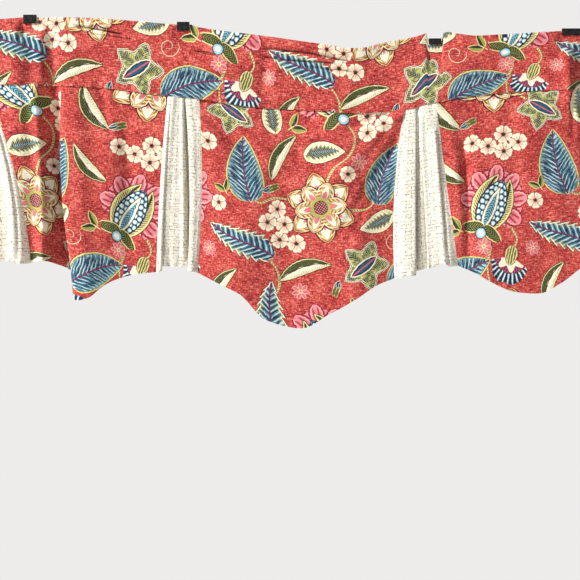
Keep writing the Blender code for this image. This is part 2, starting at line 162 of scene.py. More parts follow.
PANELS = {
    "panel_left": [
        # x_seam x_mid d_mid x_hem d_hem drop
        (-496, -448, 13, -424, 12, 283),
        (-464, -422, 16, -403, 15, 281),
        (-429, -397, 9, -378, 7.5, 287),
        (-400, -371, 4, -349, 4, 302),
        (-385, -346, 6, -320, 6, 318),
        (-378, -357, 12, -336, 12, 330),
        (-374, -376, 17.5, -361, 17, 339),
        (-367, -371, 22.5, -356, 23.5, 342),
        (-350, -354, 23.5, -339, 25.5, 338),
        (-318, -325, 19, -314, 21, 319),
        (-288, -296, 16, -292, 17, 305),
        (-245, -258, 13.5, -260, 14, 290),
        (-205, -217, 13, -223, 12.5, 280),
    ],
    "panel_middle": [
        (-155, -150, 14, -158, 13, 277),
        (-118, -121, 18, -130, 18, 286),
        (-74, -80, 20, -90, 22, 299),
        (-34, -38, 18, -45, 20, 338),
        (6, 5, 15, 6, 17, 349),
        (54, 53, 17, 54, 19, 323),
        (98, 94, 19, 94, 22, 298),
        (141, 131, 15.5, 132, 17, 276),
        (173, 157, 13.5, 159, 12.5, 268),
    ],
    "panel_right": [
        (224, 242, 13.5, 262, 12.5, 260),
        (254, 267, 16, 286, 18, 277),
        (286, 296, 18, 314, 21, 300),
        (326, 333, 19.5, 349, 21, 318),
        (366, 371, 21, 386, 20, 323),
        (406, 410, 22, 422, 22, 308),
        (441, 447, 20, 459, 22, 283),
        (470, 476, 14, 485, 17, 274),
        (496, 502, 12.5, 509, 12.5, 271),
    ],
    "end_left": [
        (-611, -606, 7, -602, 8, 280),
        (-579, -573, 9, -570, 10, 281),
        (-547, -541, 11, -538, 11.5, 282),
    ],
    "end_right": [
        (547, 566, 11, 576, 11.5, 278),
        (579, 598, 9, 608, 10, 279),
        (611, 630, 7, 639, 8, 280),
    ],
}

PLEATS = {
    "pleat_1": [
        # left   fold   turn   turn   fold   right  d_sewn d_front d_floor
        (-547, -525, -541, -502, -519, -496, 12.5, 13.5, 8),
        (-541, -518, -530, -457, -471, -448, 12, 16.5, 5.5),
        (-538, -512, -522, -448, -461, -424, 11.5, 18, 5),
    ],
    "pleat_2": [
        (-205, -198, -202, -160, -177, -155, 13.5, 15, 9.5),
        (-217, -209.5, -213, -156, -170, -150, 13, 16.5, 7),
        (-223, -214.5, -218, -160, -173, -158, 12.5, 17.5, 6.5),
    ],
    "pleat_3": [
        (173, 194, 178, 213, 197, 224, 15.5, 16.5, 11),
        (157, 192, 178, 218, 205, 242, 13.5, 19, 7),
        (159, 192, 180, 224, 212, 262, 12.5, 21, 6),
    ],
    "pleat_4": [
        (496, 519, 501, 541, 523.5, 547, 11.5, 13.5, 8),
        (502, 529, 518, 552, 541, 566, 12, 16.5, 5.5),
        (509, 537, 529, 560, 549, 576, 11.5, 18, 5),
    ],
}
PLEAT_DROPS = {
    "pleat_1": (282, 280, 283),
    "pleat_2": (279, 270, 276),
    "pleat_3": (268, 260, 258),
    "pleat_4": (271, 272, 278),
}

# Soft ridges and troughs: both ends as (share of the width, mm below the seam), half width, height
CREASES = {
    "panel_middle": [
        ((0.62, 130), (0.97, 8), 11, 4),
        ((0.72, 190), (0.97, 50), 9, -3.5),
        ((0.05, 10), (0.40, 120), 14, -2.5),
    ],
    "panel_right": [
        ((0.10, 40), (0.16, 230), 9, -3),
    ],
    "panel_left": [
        ((0.80, 60), (0.86, 240), 10, -2.5),
        ((0.228, -10), (0.070, 300), 11, 12),
        ((0.34, -10), (0.185, 300), 12, -3.6),
    ],
    "pleat_1": [
        ((0.95, 30), (0.90, 276), 2.8, -2.6),
        ((0.91, 30), (0.86, 276), 4, 1.5),
        ((0.52, 40), (0.50, 276), 8, 3),
    ],
    "pleat_2": [
        ((0.30, 4), (0.31, 262), 16, 5.5),
        ((0.215, 4), (0.22, 262), 5, 3.5),
        ((0.455, 8), (0.525, 250), 3, -6.5),
        ((0.405, 8), (0.475, 250), 3.6, 4),
        ((0.93, 30), (0.92, 262), 2.2, -1.2),
    ],
    "pleat_3": [
        ((0.965, 52), (0.905, 268), 2.1, -2.8),
        ((0.925, 52), (0.865, 268), 3.6, 1.2),
        ((0.79, 30), (0.77, 268), 5, -1.2),
        ((0.05, 60), (0.04, 268), 2.2, -1.4),
        ((0.47, 30), (0.47, 262), 14, 7),
        ((0.93, 52), (0.91, 262), 7, 2.2),
        ((0.475, 20), (0.415, 262), 2.6, -4),
    ],
}


def slopes_of(knots, values):
    """Slopes of the curve through the values that never overshoots them. Values run along axis 0."""
    step = np.diff(knots).reshape((-1,) + (1,) * (values.ndim - 1))
    rise = np.diff(values, axis=0) / step
    slopes = np.empty_like(values, dtype=float)
    slopes[0], slopes[-1] = rise[0], rise[-1]
    before, after = rise[:-1], rise[1:]
    w_before = 2 * step[1:] + step[:-1]
    w_after = step[1:] + 2 * step[:-1]
    turns = before * after <= 0
    safe_before = np.where(turns, 1.0, before)
    safe_after = np.where(turns, 1.0, after)
    mean = (w_before + w_after) / (w_before / safe_before + w_after / safe_after)
    slopes[1:-1] = np.where(turns, 0.0, mean)
    return slopes


def smooth(knots, values, at):
    """The values between the knots, on that curve. With 2-D values, each place has a column of its own."""
    knots, values = np.asarray(knots, float), np.asarray(values, float)
    slopes = slopes_of(knots, values)
    at = np.clip(np.asarray(at, float), knots[0], knots[-1])
    i = np.clip(np.searchsorted(knots, at, side="right") - 1, 0, len(knots) - 2)
    step = knots[i + 1] - knots[i]
    f = (at - knots[i]) / step
    own = () if values.ndim == 1 else (np.arange(values.shape[1]),)
    start, end = values[(i, *own)], values[(i + 1, *own)]
    leave, arrive = slopes[(i, *own)] * step, slopes[(i + 1, *own)] * step
    return (
        start * (1 + 2 * f) * (1 - f) ** 2
        + leave * f * (1 - f) ** 2
        + end * f * f * (3 - 2 * f)
        - arrive * f * f * (1 - f)
    )


def ease(share):
    """0 up to 0, 1 from 1 on, and a soft rise between."""
    share = np.clip(share, 0.0, 1.0)
    return share * share * (3 - 2 * share)


def header_at(x, column):
    """A column of the header's table, at x."""
    return smooth(HEADER[:, 0], HEADER[:, column], x)


def gripped_at(x, down):
    """1 in a clip and just beside it, 0 where the cloth is free, at x and so far below the top edge."""
    most = np.zeros_like(x)
    for _, at, width, _ in CLIPS:
        away = np.abs(x - at) - width / 2 - HOLD_BESIDE
        most = np.maximum(most, 1 - ease(away / HOLD_FADES))
    return most * (1 - ease((down - GRIP_DOWN) / GRIP_FADES))


def top_edge(x):
    """Height of the top edge. It is level in a clip, and some clips pull it down."""
    height = header_at(x, 1)
    for _, at, width, pulled in CLIPS:
        away = np.abs(x - at) - width / 2 - HOLD_BESIDE
        in_clip = 1 - ease(away / HOLD_FADES)
        height = height + (header_at(at, 1) - height) * in_clip
        height = height - pulled * (1 - ease(away / EAR))
    return height


def lip_at(x):
    """0 where the top edge is a plain fold, and 1 where its front sags most."""
    start, deepest, end = LIP
    rising = ease((x - start) / (deepest - start))
    falling = 1 - ease((x - deepest) / (end - deepest))
    return np.where(x < deepest, rising, falling)


def furrow_at(x):
    """Depth of the furrow along the heading's stitching."""
    start, end, deep, shallow = FURROW
    run = FURROW_RUN_OUT
    inside = ease((x - start) / run) * (1 - ease((x - end + run) / run))
    return shallow + (deep - shallow) * inside


def front_depth(x, down):
    """Depth of the header's front layer, `down` below the top edge."""
    length = top_edge(x) - header_at(x, 2)
    belly = np.minimum(BELLY_DOWN, 0.5 * length)
    below = 0.5 + 0.5 * (down - belly) / (length - belly)
    share = np.clip(np.where(down < belly, 0.5 * down / belly, below), 0.0, 1.0)
    top, middle, seam = header_at(x, 3), header_at(x, 4), header_at(x, 5)
    bulge = 2 * (2 * middle - (top + seam) / 2)
    depth = top * (1 - share) ** 2 + bulge * share * (1 - share) + seam * share**2
    depth = depth - furrow_at(x) * np.exp(-(((down - STITCH_DOWN) / STITCH_SOFT) ** 2))
    return depth + (PINCHED_DEPTH - depth) * gripped_at(x, down)


def layers_apart(x, down):
    """Between the header's layers, `down` below the top edge."""
    parted = HEADER_LAYERS + LIP_OPEN * lip_at(x) * (1 - ease(down / LIP_CLOSES))
    return parted + (PINCHED_LAYERS - parted) * gripped_at(x, down)


def by_height(three, share):
    """What lies between values at the seam, halfway down and at the hem, at this share of the drop."""
    share = np.where(share > 1, 1 + 0.5 * (share - 1), share)
    seam, middle, hem = three
    return (
        seam * (1 - share) * (1 - 2 * share)
        + middle * 4 * share * (1 - share)
        + hem * share * (2 * share - 1)
    )


def pleat_line(left, fold_l, turn_l, turn_r, fold_r, right, d_sewn, d_front, d_floor):
    """A pleat's section as points (x, depth), from its left sewn edge to its right one."""

    def half_of_it(edge, fold, turn, inwards):
        return [
            (edge, d_sewn),
            (edge + 0.5 * (fold - edge), d_front),
            (fold - FOLD_BEFORE * inwards, d_front + FOLD_LIFT),
            (fold, d_front - NOSE),
            ((fold + turn) / 2, (d_front + d_floor) / 2),
            (turn, d_floor + NOSE),
            (turn + TURN_PAST * inwards, d_floor),
        ]

    middle = ((turn_l + turn_r) / 2, d_floor + FLOOR_LIFT)
    return [*half_of_it(left, fold_l, turn_l, 1), middle, *half_of_it(right, fold_r, turn_r, -1)[::-1]]


# ---------------------------------------------------------------- fine unevenness of the cloth, and the painted shade in its narrow creases
# Soft dents: their size, their depth and the seed of their places
DENTS = [(85.0, 2.0, 3), (38.0, 0.8, 4), (17.0, 0.5, 5)]
# Wrinkles that cross the sheets, and the broad swells under them: two ends (x, z), half width, height
WRINKLES = [
    # the heading, and what runs down from it
    ((-48, -10), (18, -15), 2.4, 1.6),
    ((-50, -13.4), (16, -19), 1.8, -4.4),
    ((18, -19.4), (80, -33), 2, -5),
    ((-54, -22), (10, -27), 5, -1.6),
    ((-50, -27), (-24, -31.5), 1.8, -4.4),
    ((-22, -32), (60, -37.5), 1.8, -4.8),
    ((22, -44), (86, -50), 2, -2.4),
    ((-60, -44), (40, -50), 6, 1.2),
    ((-350, 23.5), (-326, 19.6), 1.9, -5.6),
    ((-325, 19.4), (-282, 10.5), 1.9, -6),
    ((-322, 14.5), (-266, 5), 2.4, 1.6),
    ((-326, 10), (-268, 2.5), 1.8, -2.2),
    ((-158, -17.5), (-130, -23), 1.9, -4.2),
    ((-142, -50), (-96, -60), 2.4, -2.2),
    ((-150, -78), (-108, -84), 2, -2.8),
    ((-45, -17), (-56, -74), 8, -1.6),
    ((-482, 24), (-474, -340), 40, 6),
    ((-446, 6), (-440, -340), 18, 6),
    ((-411, 8), (-408, -74), 10, 6.5),
    ((-394, 12), (-390, -72), 8, -1.6),
    ((302, -40), (304, -84), 2.6, -1),
    ((338, -24.5), (354, -26), 1.8, -2.6),
    ((-46, -44), (-50, -66), 7, -1.6),
    ((120, -30), (160, -60), 7, -1.4),
    ((366, -20), (392, -70), 8, -1.4),
    ((446, -34), (443, -150), 5, -3.2),
    ((434, 10), (436, -84), 10, 5),
    ((450, 12), (450, -340), 46, -4.6),
    ((-124, -26), (-96, -74), 24, 4),
    ((84, -14), (130, -20), 6, -2.4),
    # the right side of the middle scallop, dragged from the pleat's top
    ((160, -114), (88, -140), 5.5, -2.8),
    ((162, -121), (122, -142), 2.4, -1.5),
    ((150, -118), (108, -121), 2.4, -1.2),
    ((158, -127), (98, -158), 7, 2.2),
    ((156, -146), (124, -196), 7.5, 2.4),
    ((158, -172), (124, -252), 6.5, -3.8),
    ((148, -186), (134, -212), 2.6, -1.2),
    ((128, -238), (96, -258), 2.4, -1.1),
    ((140, -214), (112, -282), 7, 2),
    ((122, -252), (84, -322), 8, -2.8),
    ((98, -252), (60, -300), 12, 1.6),
    ((62, -150), (84, -300), 28, 5),
    # its left side and its middle
    ((-152, -116), (-100, -164), 6.5, -2.2),
    ((-148, -98), (-86, -112), 4, -1.8),
    ((-146, -132), (-112, -180), 8, 1.6),
    ((-12, -226), (-28, -420), 24, -2.4),
    ((-66, -240), (-84, -372), 20, 2),
    # the left scallop beside its fold
    ((-314, -76), (-298, -150), 6, -2.2),
    ((-318, -78), (-304, -108), 2.4, -1.3),
    ((-352, -120), (-330, -370), 16, 1.8),
    ((-298, -170), (-300, -290), 20, 4.5),
    ((-262, -200), (-270, -340), 12, -1.8),
    ((-470, -120), (-446, -330), 12, 1.8),
    # the right scallop
    ((270, -172), (276, -334), 7, -4.8),
    ((254, -110), (258, -330), 14, 3.6),
    ((296, -180), (306, -372), 13, 1.8),
    ((344, -120), (352, -260), 12, -1.8),
    ((240, -104), (300, -130), 6, -1.6),
    ((404, -150), (398, -330), 12, -2),
]
# Thin painted shade lines where a pleat's fold lies on the next, given as in WRINKLES but without a shape
# of their own
FOLD_SHADE_LINES = [
    ((-178, -98), (-175, -190), 1.6, -2.6),
    ((-175, -190), (-172, -270), 1.6, -4),
    ((-172, -270), (-174, -325), 1.6, -3.2),
    ((192, -104), (193, -340), 1.6, -3.2),
    ((227, -118), (229, -195), 1.6, -2.6),
    ((229, -195), (240, -335), 1.6, -2.8),
]
CRISP_HALF = 2.6  # a trough up to this half width also gets a painted shade line along it
CRISP_DEEP = -4.0  # and from this depth on that painted shade is as dark as it gets
CRISP_LINE = 0.8  # half the width of the painted shade line for each unit of the trough's own
SEAM_STEP = (2.2, 5.0)  # how far the skirt steps back below the header, and over what drop it comes forward
PUCKER = (7.5, 40.0, 1.3)  # width of a pucker at the seam, its length, its height
PUCKER_REACH = 14.0  # how far from the seam they fade away
TOP_CALM = (30.0, 0.15)  # the drop over which the unevenness grows below the top edge, and its start
HEM_CURL = (8.0, 3.6, 10.0)  # size of a curl at a pleat's hem, how far it stands out, how high it reaches
HEM_RAGGED = (9.0, 3.0)  # size of the ups and downs of a pleat's hem, and their height
SEEDS = {"pucker": 7, "curl": 13, "ragged": 15}
GRID = 64  # the random hills repeat after this many


def uneven(x, y, seed):
    """Soft random hills between -1 and 1, one about every unit."""
    grid = np.random.RandomState(seed).uniform(-1, 1, (GRID, GRID))
    i, j = np.floor(x).astype(int), np.floor(y).astype(int)
    fx, fy = ease(x - i), ease(y - j)
    low, high = (
        grid[i % GRID, row % GRID] * (1 - fx) + grid[(i + 1) % GRID, row % GRID] * fx for row in (j, j + 1)
    )
    return low * (1 - fy) + high * fy


def ridge(x, y, start, end, half, height):
    """A soft ridge from one place to another. With a height below 0 it is a trough."""
    (ax, ay), (bx, by) = start, end
    length = math.hypot(bx - ax, by - ay)
    along = ((x - ax) * (bx - ax) + (y - ay) * (by - ay)) / length
    aside = ((x - ax) * (by - ay) - (y - ay) * (bx - ax)) / length
    past = np.maximum(0, np.maximum(-along, along - length)) / (2 * half)
    return height * np.exp(-((aside / half) ** 2) - past**2)


def crease_shade_at(x, z):
    """How much painted shade the narrow creases put at (x, z), from 0 to 1: a dark line that stands in for
    the shadow in a crease.
    """
    deep = np.zeros_like(x)
    for start, end, half, height in WRINKLES + FOLD_SHADE_LINES:
        if half <= CRISP_HALF and height < 0:
            dark = min(1, height / CRISP_DEEP)
            deep = np.maximum(deep, ridge(x, z, start, end, CRISP_LINE * half, dark))
    return deep


def unevenness(x, z):
    """How far the cloth at (x, z) stands forward of its smooth hang. Layers there move together."""
    lift = sum(deep * uneven(x / size, z / size, seed) for size, deep, seed in DENTS)
    for start, end, half, height in WRINKLES:
        lift = lift + ridge(x, z, start, end, half, height)
    wide, long, high = PUCKER
    from_seam = np.abs(z - header_at(x, 2)) / PUCKER_REACH
    pucker = high * uneven(x / wide, z / long, SEEDS["pucker"]) * np.exp(-from_seam)
    down = top_edge(x) - z
    grows_over, begun = TOP_CALM
    return (lift + pucker) * (1 - gripped_at(x, down)) * ease(down / grows_over + begun)


def crease(name, width, across, down):
    """How far the creases of this sheet lift the cloth towards the viewer."""
    lift = np.zeros_like(across)
    for (start_share, start_down), (end_share, end_down), half, height in CREASES.get(name, ()):
        start, end = (start_share * width, start_down), (end_share * width, end_down)
        lift = lift + ridge(across, down, start, end, half, height)
    return lift


# ---------------------------------------------------------------- grids of places
STEP = 2.0  # size of the meshes' cells
HEADER_STEP = (3.6, 1.15)  # across the header and up its front
COARSER_BACK = 4  # its back has this many times fewer rows
COLUMN_GAP = 0.3  # columns of the header closer than this are one
FLAP_CELLS = 5  # what is turned behind a sewn edge, in cells
HEM_CELLS = 6  # what is turned behind a lower edge, in cells
TURN = 1.2  # from the cloth to what is turned behind it
OVER_FLAP = 3.0  # cells over which the turned hem steps over a flap
TUCK = (2.0, 0.4)  # the top of the skirt reaches this far up, and this far back
HEADER_HEIGHT = 104.0  # flat height of each of the header's two layers
HEADER_FOLD = 4.0  # flat height of the fold between them


def to_blender(places):
    """Places (x, depth, z) in mm as Blender's coordinates in mm."""
    return places * np.array([1.0, -1.0, 1.0])


def out_of(places):
    """Unit vectors out of the right side of a grid of places whose rows go down."""
    across = np.gradient(places, axis=1)
    down = np.gradient(places, axis=0)
    out = np.cross(down, across)
    return out / np.maximum(np.linalg.norm(out, axis=2, keepdims=True), 1e-9)


class Skirt:
    """A panel or a pleat: its grid of places, their flat coordinates and its cut size."""

    def __init__(self, name):
        if name in PLEATS:
            lines = np.array([pleat_line(*row) for row in PLEATS[name]])
            drops = np.interp(np.linspace(0, 1, lines.shape[1]), DROP_AT, PLEAT_DROPS[name])
        else:
            table = np.array(PANELS[name], float)
            at_seam = np.stack([table[:, 0], header_at(table[:, 0], 5)], axis=1)
            lines = np.stack([at_seam, table[:, 1:3], table[:, 3:5]])
            drops = table[:, 5]
        steps = np.linalg.norm(np.diff(lines, axis=1), axis=2).mean(axis=0)
        knots = np.concatenate([[0.0], np.cumsum(steps)])
        self.width = knots[-1]
        stations = np.linspace(0.0, self.width, round(self.width / STEP) + 1)
        self.drop = smooth(knots, drops, stations)
        if name in PLEATS:
            size, high = HEM_RAGGED
            halfway = 0.5 * stations / stations[-1]
            self.drop = self.drop + high * uneven(stations / size, halfway, SEEDS["ragged"])
        rows = round(self.drop.max() / STEP)
        across, share = np.meshgrid(stations, np.linspace(0, 1, rows + 1))
        down = share * self.drop[None, :]
        flat_across, flat_down = across.ravel(), down.ravel()
        at_height = by_height(lines[:, :, None, :], (flat_down / PLEAT_DROP)[None, :, None])
        x = smooth(knots, at_height[..., 0], flat_across)
        depth = smooth(knots, at_height[..., 1], flat_across)
        z = header_at(smooth(knots, lines[0, :, 0], flat_across), 2) - SEAM_GAP - flat_down
        depth = depth + crease(name, self.width, flat_across, flat_down) + unevenness(x, z)
        depth = depth - SEAM_STEP[0] * np.exp(-flat_down / SEAM_STEP[1])
        if name in PLEATS:
            above_hem = np.tile(self.drop, rows + 1) - flat_down
            size, out, fades = HEM_CURL
            curl = uneven(x / size, flat_across / size, SEEDS["curl"])
            depth = depth + out * curl * np.exp(-above_hem / fades)
        places = to_blender(np.stack([x, depth, z], axis=1).reshape(*across.shape, 3))
        self.turn_edges(places, across, down)

    def turn_edges(self, places, across, down):
        """Turn the sides and the hem behind the cloth, and tuck the top in behind the header."""
        rows, columns = down.shape
        out = out_of(places)
        last_row, last_column = rows - 1, columns - 1
        row_at = np.concatenate([[0], np.arange(rows), last_row - np.arange(HEM_CELLS + 1)])
        flap = np.arange(FLAP_CELLS + 1)
        column_at = np.concatenate([flap[::-1], np.arange(columns), last_column - flap])
        hem = (np.arange(len(row_at)) > rows).astype(float)[:, None]
        side = np.ones(len(column_at))[None, :]
        side[0, FLAP_CELLS + 1 : FLAP_CELLS + 1 + columns] = 0
        from_side = np.minimum(column_at, last_column - column_at)[None, :]
        over_flap = 1 - ease((from_side - FLAP_CELLS) / OVER_FLAP)
        layers = hem * (1 + side + 2 * (1 - side) * over_flap) + (1 - hem) * side
        pick = np.ix_(row_at, column_at)
        turned = places[pick] - out[pick] * (TURN * layers)[..., None]
        turned[0] += np.array([0.0, TUCK[1], TUCK[0]])
        edge_s = np.where(column_at * 2 < columns, 0, self.width)
        flat_s = np.where(side > 0, 2 * edge_s - across[pick], across[pick])
        drop = down[last_row][column_at][None, :]
        flat_t = np.where(hem > 0, down[pick] - 2 * drop, -down[pick])
        self.places = turned
        self.flat = np.stack([flat_s, flat_t], axis=2)


def clip_stops():
    """Where the header needs columns of its own: both ends of each clip's grip, and the steps beside it."""
    stops = []
    for _, at, width, pulled in CLIPS:
        reach = width / 2 + HOLD_BESIDE
        stops += [at - reach, at + reach]
        if pulled:
            stops += [at - reach - EAR / 2, at - reach - EAR, at + reach + EAR / 2, at + reach + EAR]
    return stops


def header_grid():
    """The header's places and flat coordinates: up its back, over the top edge and down its front."""
    x = np.arange(HEADER[0, 0], HEADER[-1, 0], HEADER_STEP[0])
    x = np.unique(np.concatenate([x, [HEADER[-1, 0]], clip_stops()]))
    x = x[np.concatenate([[True], np.diff(x) > COLUMN_GAP])]
    top, seam = top_edge(x), header_at(x, 2) + SEAM_GAP
    sag = LIP_DROP * lip_at(x)
    edge, apart = front_depth(x, 0.0), layers_apart(x, 0.0)
    rows, heights = [], []
    foot = seam + BACK_SHORT
    for share in np.linspace(0, 1, round(HEADER_HEIGHT / (COARSER_BACK * HEADER_STEP[1]))):
        z = foot + share * (top - FOLD_ROUND - foot)
        depth = front_depth(x, top - z) - layers_apart(x, top - z)
        rows.append((x, depth + unevenness(x, z), z))
        heights.append(HEADER_HEIGHT * (2 - share) + HEADER_FOLD)
    for back, rise, sagged in reversed(CROWN):
        z = top + rise - sagged * sag
        rows.append((x, edge - back * apart + unevenness(x, z), z))
        heights.append(HEADER_HEIGHT + HEADER_FOLD * back)
    for share in np.linspace(1, 0, round(HEADER_HEIGHT / HEADER_STEP[1])):
        z = seam + share * (top - sag - FOLD_ROUND - seam)
        depth = front_depth(x, top - sag - z)
        rows.append((x, depth + unevenness(x, z), z))
        heights.append(HEADER_HEIGHT * share)
    places = to_blender(np.array(rows).transpose(0, 2, 1))
    flat = np.stack(np.meshgrid(x - HEADER[0, 0], heights), axis=2)
    return places, flat


# ---------------------------------------------------------------- the print: its tile
TILE = (460.0, 400.0)  # the print repeats after this much cloth, across and up
# Where each sheet is cut from the bolt of printed cloth
CUT_AT = {
    "header": (40, 150),
    "panel_left": (300, 60),
    "panel_middle": (130, 30),
    "panel_right": (20, 45),
    "end_left": (250, 100),
    "end_right": (90, 200),
}
LEAF_ROOM = 0.06  # added to the half width of a leaf's region, as room for its tips
# Half the length of each kind of motif, its half width for each unit of that, and the form of its region
MOTIF_SIZES = {
    "bloom": (60, 1, "disc"),
    "tulip": (65, 0.88, "disc"),
    "carnation": (33, 0.92, "disc"),
    "heart_leaf": (54, 0.62, "leaf"),
    "saw_leaf": (58, 0.48, "leaf"),
    "split_leaf": (44, 0.36, "leaf"),
    "vine_leaf": (47, 0.98, "disc"),
    "pale_leaf": (34, 0.58, "leaf"),
    "blossom": (14.8, 1, "disc"),
    "star": (14.5, 1, "disc"),
    "sprig": (22, 0.78, "disc"),
    "bud": (15, 0.55, "leaf"),
    "curl": (18, 0.95, "disc"),
}
# The tile's motifs: place across and up, the turn of the tip from the right in degrees, and share of size
MOTIF_PLACES = {
    "bloom": [(105, 75, 0, 1), (325, 275, 12, 0.95)],
    "tulip": [(92, 272, 60, 1), (330, 62, 125, 1)],
    "heart_leaf": [(200, 330, 100, 1), (24, 167, 20, 1), (430, 330, 75, 0.95)],
    "saw_leaf": [(200, 215, 150, 1), (250, 100, 80, 0.95)],
    "vine_leaf": [(395, 183, 215, 0.95), (180, 17, 330, 0.85)],
    "split_leaf": [
        (25, 30, 120, 1), (260, 355, 60, 1), (300, 175, 20, 1), (175, 140, 60, 0.9),
        (22, 338, 130, 0.9),
    ],
    "carnation": [(435, 100, 70, 1), (105, 170, 250, 1)],
    "pale_leaf": [(330, 365, 10, 1), (420, 252, 200, 0.95), (240, 22, 100, 1)],
    "blossom": [
        (140, 365, 0, 1), (116, 352, 20, 1), (92, 362, 50, 0.95), (117, 379, 10, 1),
        (68, 370, 33, 0.95), (255, 270, 0, 1), (240, 248, 40, 1), (267, 246, 15, 1),
        (260, 221, 60, 0.95), (286, 216, 25, 1), (395, 25, 0, 1), (419, 38, 35, 1),
        (421, 11, 60, 0.95), (397, -2, 20, 1), (160, 270, 20, 0.9), (368, 332, 20, 0.9),
    ],
    "star": [(68, 205, 0, 1), (292, 140, 20, 1), (385, 352, 20, 1), (148, 195, 20, 0.9)],
    "sprig": [(388, 124, 80, 1), (20, 245, 150, 1), (288, 8, 30, 1), (165, 300, 120, 0.8)],
    "bud": [(350, 148, 70, 1), (64, 2, 200, 1), (243, 302, 200, 1)],
    "curl": [(447, 222, 0, 1), (200, 95, 120, 0.9), (40, 105, 120, 0.8)],
}
MOTIFS = [(kind, *place) for kind, places in MOTIF_PLACES.items() for place in places]
# The stems that join them, each through points across and up
VINES = [
    [(64, 226), (78, 205), (68, 168), (76, 125), (100, 85)],
    [(140, 85), (185, 75), (215, 62), (241, 52)],
    [(366, 12), (378, -10), (370, -38), (345, -62), (330, -95)],
    [(285, 285), (250, 287), (226, 278), (209, 290)],
    [(430, 152), (415, 148), (396, 165)],
    [(418, 290), (400, 276), (365, 275)],
    [(425, 76), (410, 64), (375, 64)],
    [(115, 194), (124, 212), (112, 238)],
    [(155, 32), (130, 50)],
    [(247, 188), (258, 172), (262, 150), (256, 130)],
]


# ---------------------------------------------------------------- stems
VINE_STEP = 1.5  # between the points of a stem's smooth line
FAR = 99.0  # stands for no stem near
NEAR_VINE = 8.0  # how far from a stem its distance is worked out


def vine_samples(points):
    """Points every so often along the smooth stem through the given ones."""
    points = np.array(points, float)
    padded = np.vstack([2 * points[0] - points[1], points, 2 * points[-1] - points[-2]])
    samples = []
    for a, b, c, d in zip(padded, padded[1:], padded[2:], padded[3:]):
        count = max(2, round(np.linalg.norm(c - b) / VINE_STEP))
        f = np.linspace(0, 1, count, endpoint=False)[:, None]
        samples.append(
            b + 0.5 * f * (c - a + f * (2 * a - 5 * b + 4 * c - d + f * (3 * (b - c) + d - a)))
        )
    return np.vstack(samples + [points[-1:]])


def beside_vines(bolt):
    """For each stem, how far along it and how far aside from it each point of the bolt is."""
    found = []
    for points in VINES:
        line = vine_samples(points)
        heading = np.gradient(line, axis=0)
        run = np.concatenate([[0], np.cumsum(np.linalg.norm(np.diff(line, axis=0), axis=1))])
        heading = heading / np.linalg.norm(heading, axis=1, keepdims=True)
        nearest = np.full(len(bolt), 1e9)
        along = np.zeros(len(bolt))
        aside = np.full(len(bolt), FAR)
        for shift_s in (-TILE[0], 0, TILE[0]):
            for shift_t in (-TILE[1], 0, TILE[1]):
                shifted = line + (shift_s, shift_t)
                low, high = shifted.min(axis=0) - NEAR_VINE, shifted.max(axis=0) + NEAR_VINE
                close = np.flatnonzero(np.all((bolt > low) & (bolt < high), axis=1))
                if not len(close):
                    continue
                gap = bolt[close, None, :] - shifted[None, :, :]
                squared = (gap**2).sum(axis=2)
                i = squared.argmin(axis=1)
                best = squared[np.arange(len(close)), i]
                better = best < nearest[close]
                to_here = gap[np.arange(len(close)), i]
                ahead = (to_here * heading[i]).sum(axis=1)
                left = heading[i][:, 0] * to_here[:, 1] - heading[i][:, 1] * to_here[:, 0]
                before, beyond = (i == 0) & (ahead < 0), (i == len(line) - 1) & (ahead > 0)
                left = np.where(before | beyond, FAR, left)
                chosen = close[better]
                nearest[chosen] = best[better]
                along[chosen] = (run[i] + ahead)[better]
                aside[chosen] = left[better]
        found.append((along, aside))
    return found


def motif_at(bolt):
    """For each point of the bolt, the number of the motif that it is in, or -1."""
    best = np.full(len(bolt), 1.0)
    chosen = np.full(len(bolt), -1)
    for number, (kind, *_) in enumerate(MOTIFS):
        _, width, form = MOTIF_SIZES[kind]
        u, v = in_motif(bolt, number)
        if form == "leaf":
            narrowed = width * np.maximum(1 - u * u, 0) ** 0.5 + LEAF_ROOM
            reach = np.maximum(np.abs(u), np.abs(v) / narrowed)
        else:
            reach = np.hypot(u, v / width)
        closer = reach < best
        best = np.where(closer, reach, best)
        chosen = np.where(closer, number, chosen)
    return chosen


def in_motif(bolt, number, centres=None):
    """Where points on the bolt are in a motif: -1 to 1 from its base to its tip, and as much across it."""
    kind, s, t, turn, share = MOTIFS[number]
    size = MOTIF_SIZES[kind][0] * share
    anchor = bolt if centres is None else centres
    half = np.array(TILE) / 2
    wrapped = (anchor - (s, t) + half) % np.array(TILE) - half
    offset = wrapped + (bolt - anchor)
    angle = math.radians(turn)
    u = (offset[:, 0] * math.cos(angle) + offset[:, 1] * math.sin(angle)) / size
    v = (offset[:, 1] * math.cos(angle) - offset[:, 0] * math.sin(angle)) / size
    return u, v


# ---------------------------------------------------------------- meshes
SHARP = 70  # an edge is shaded sharp from this bend on, in degrees


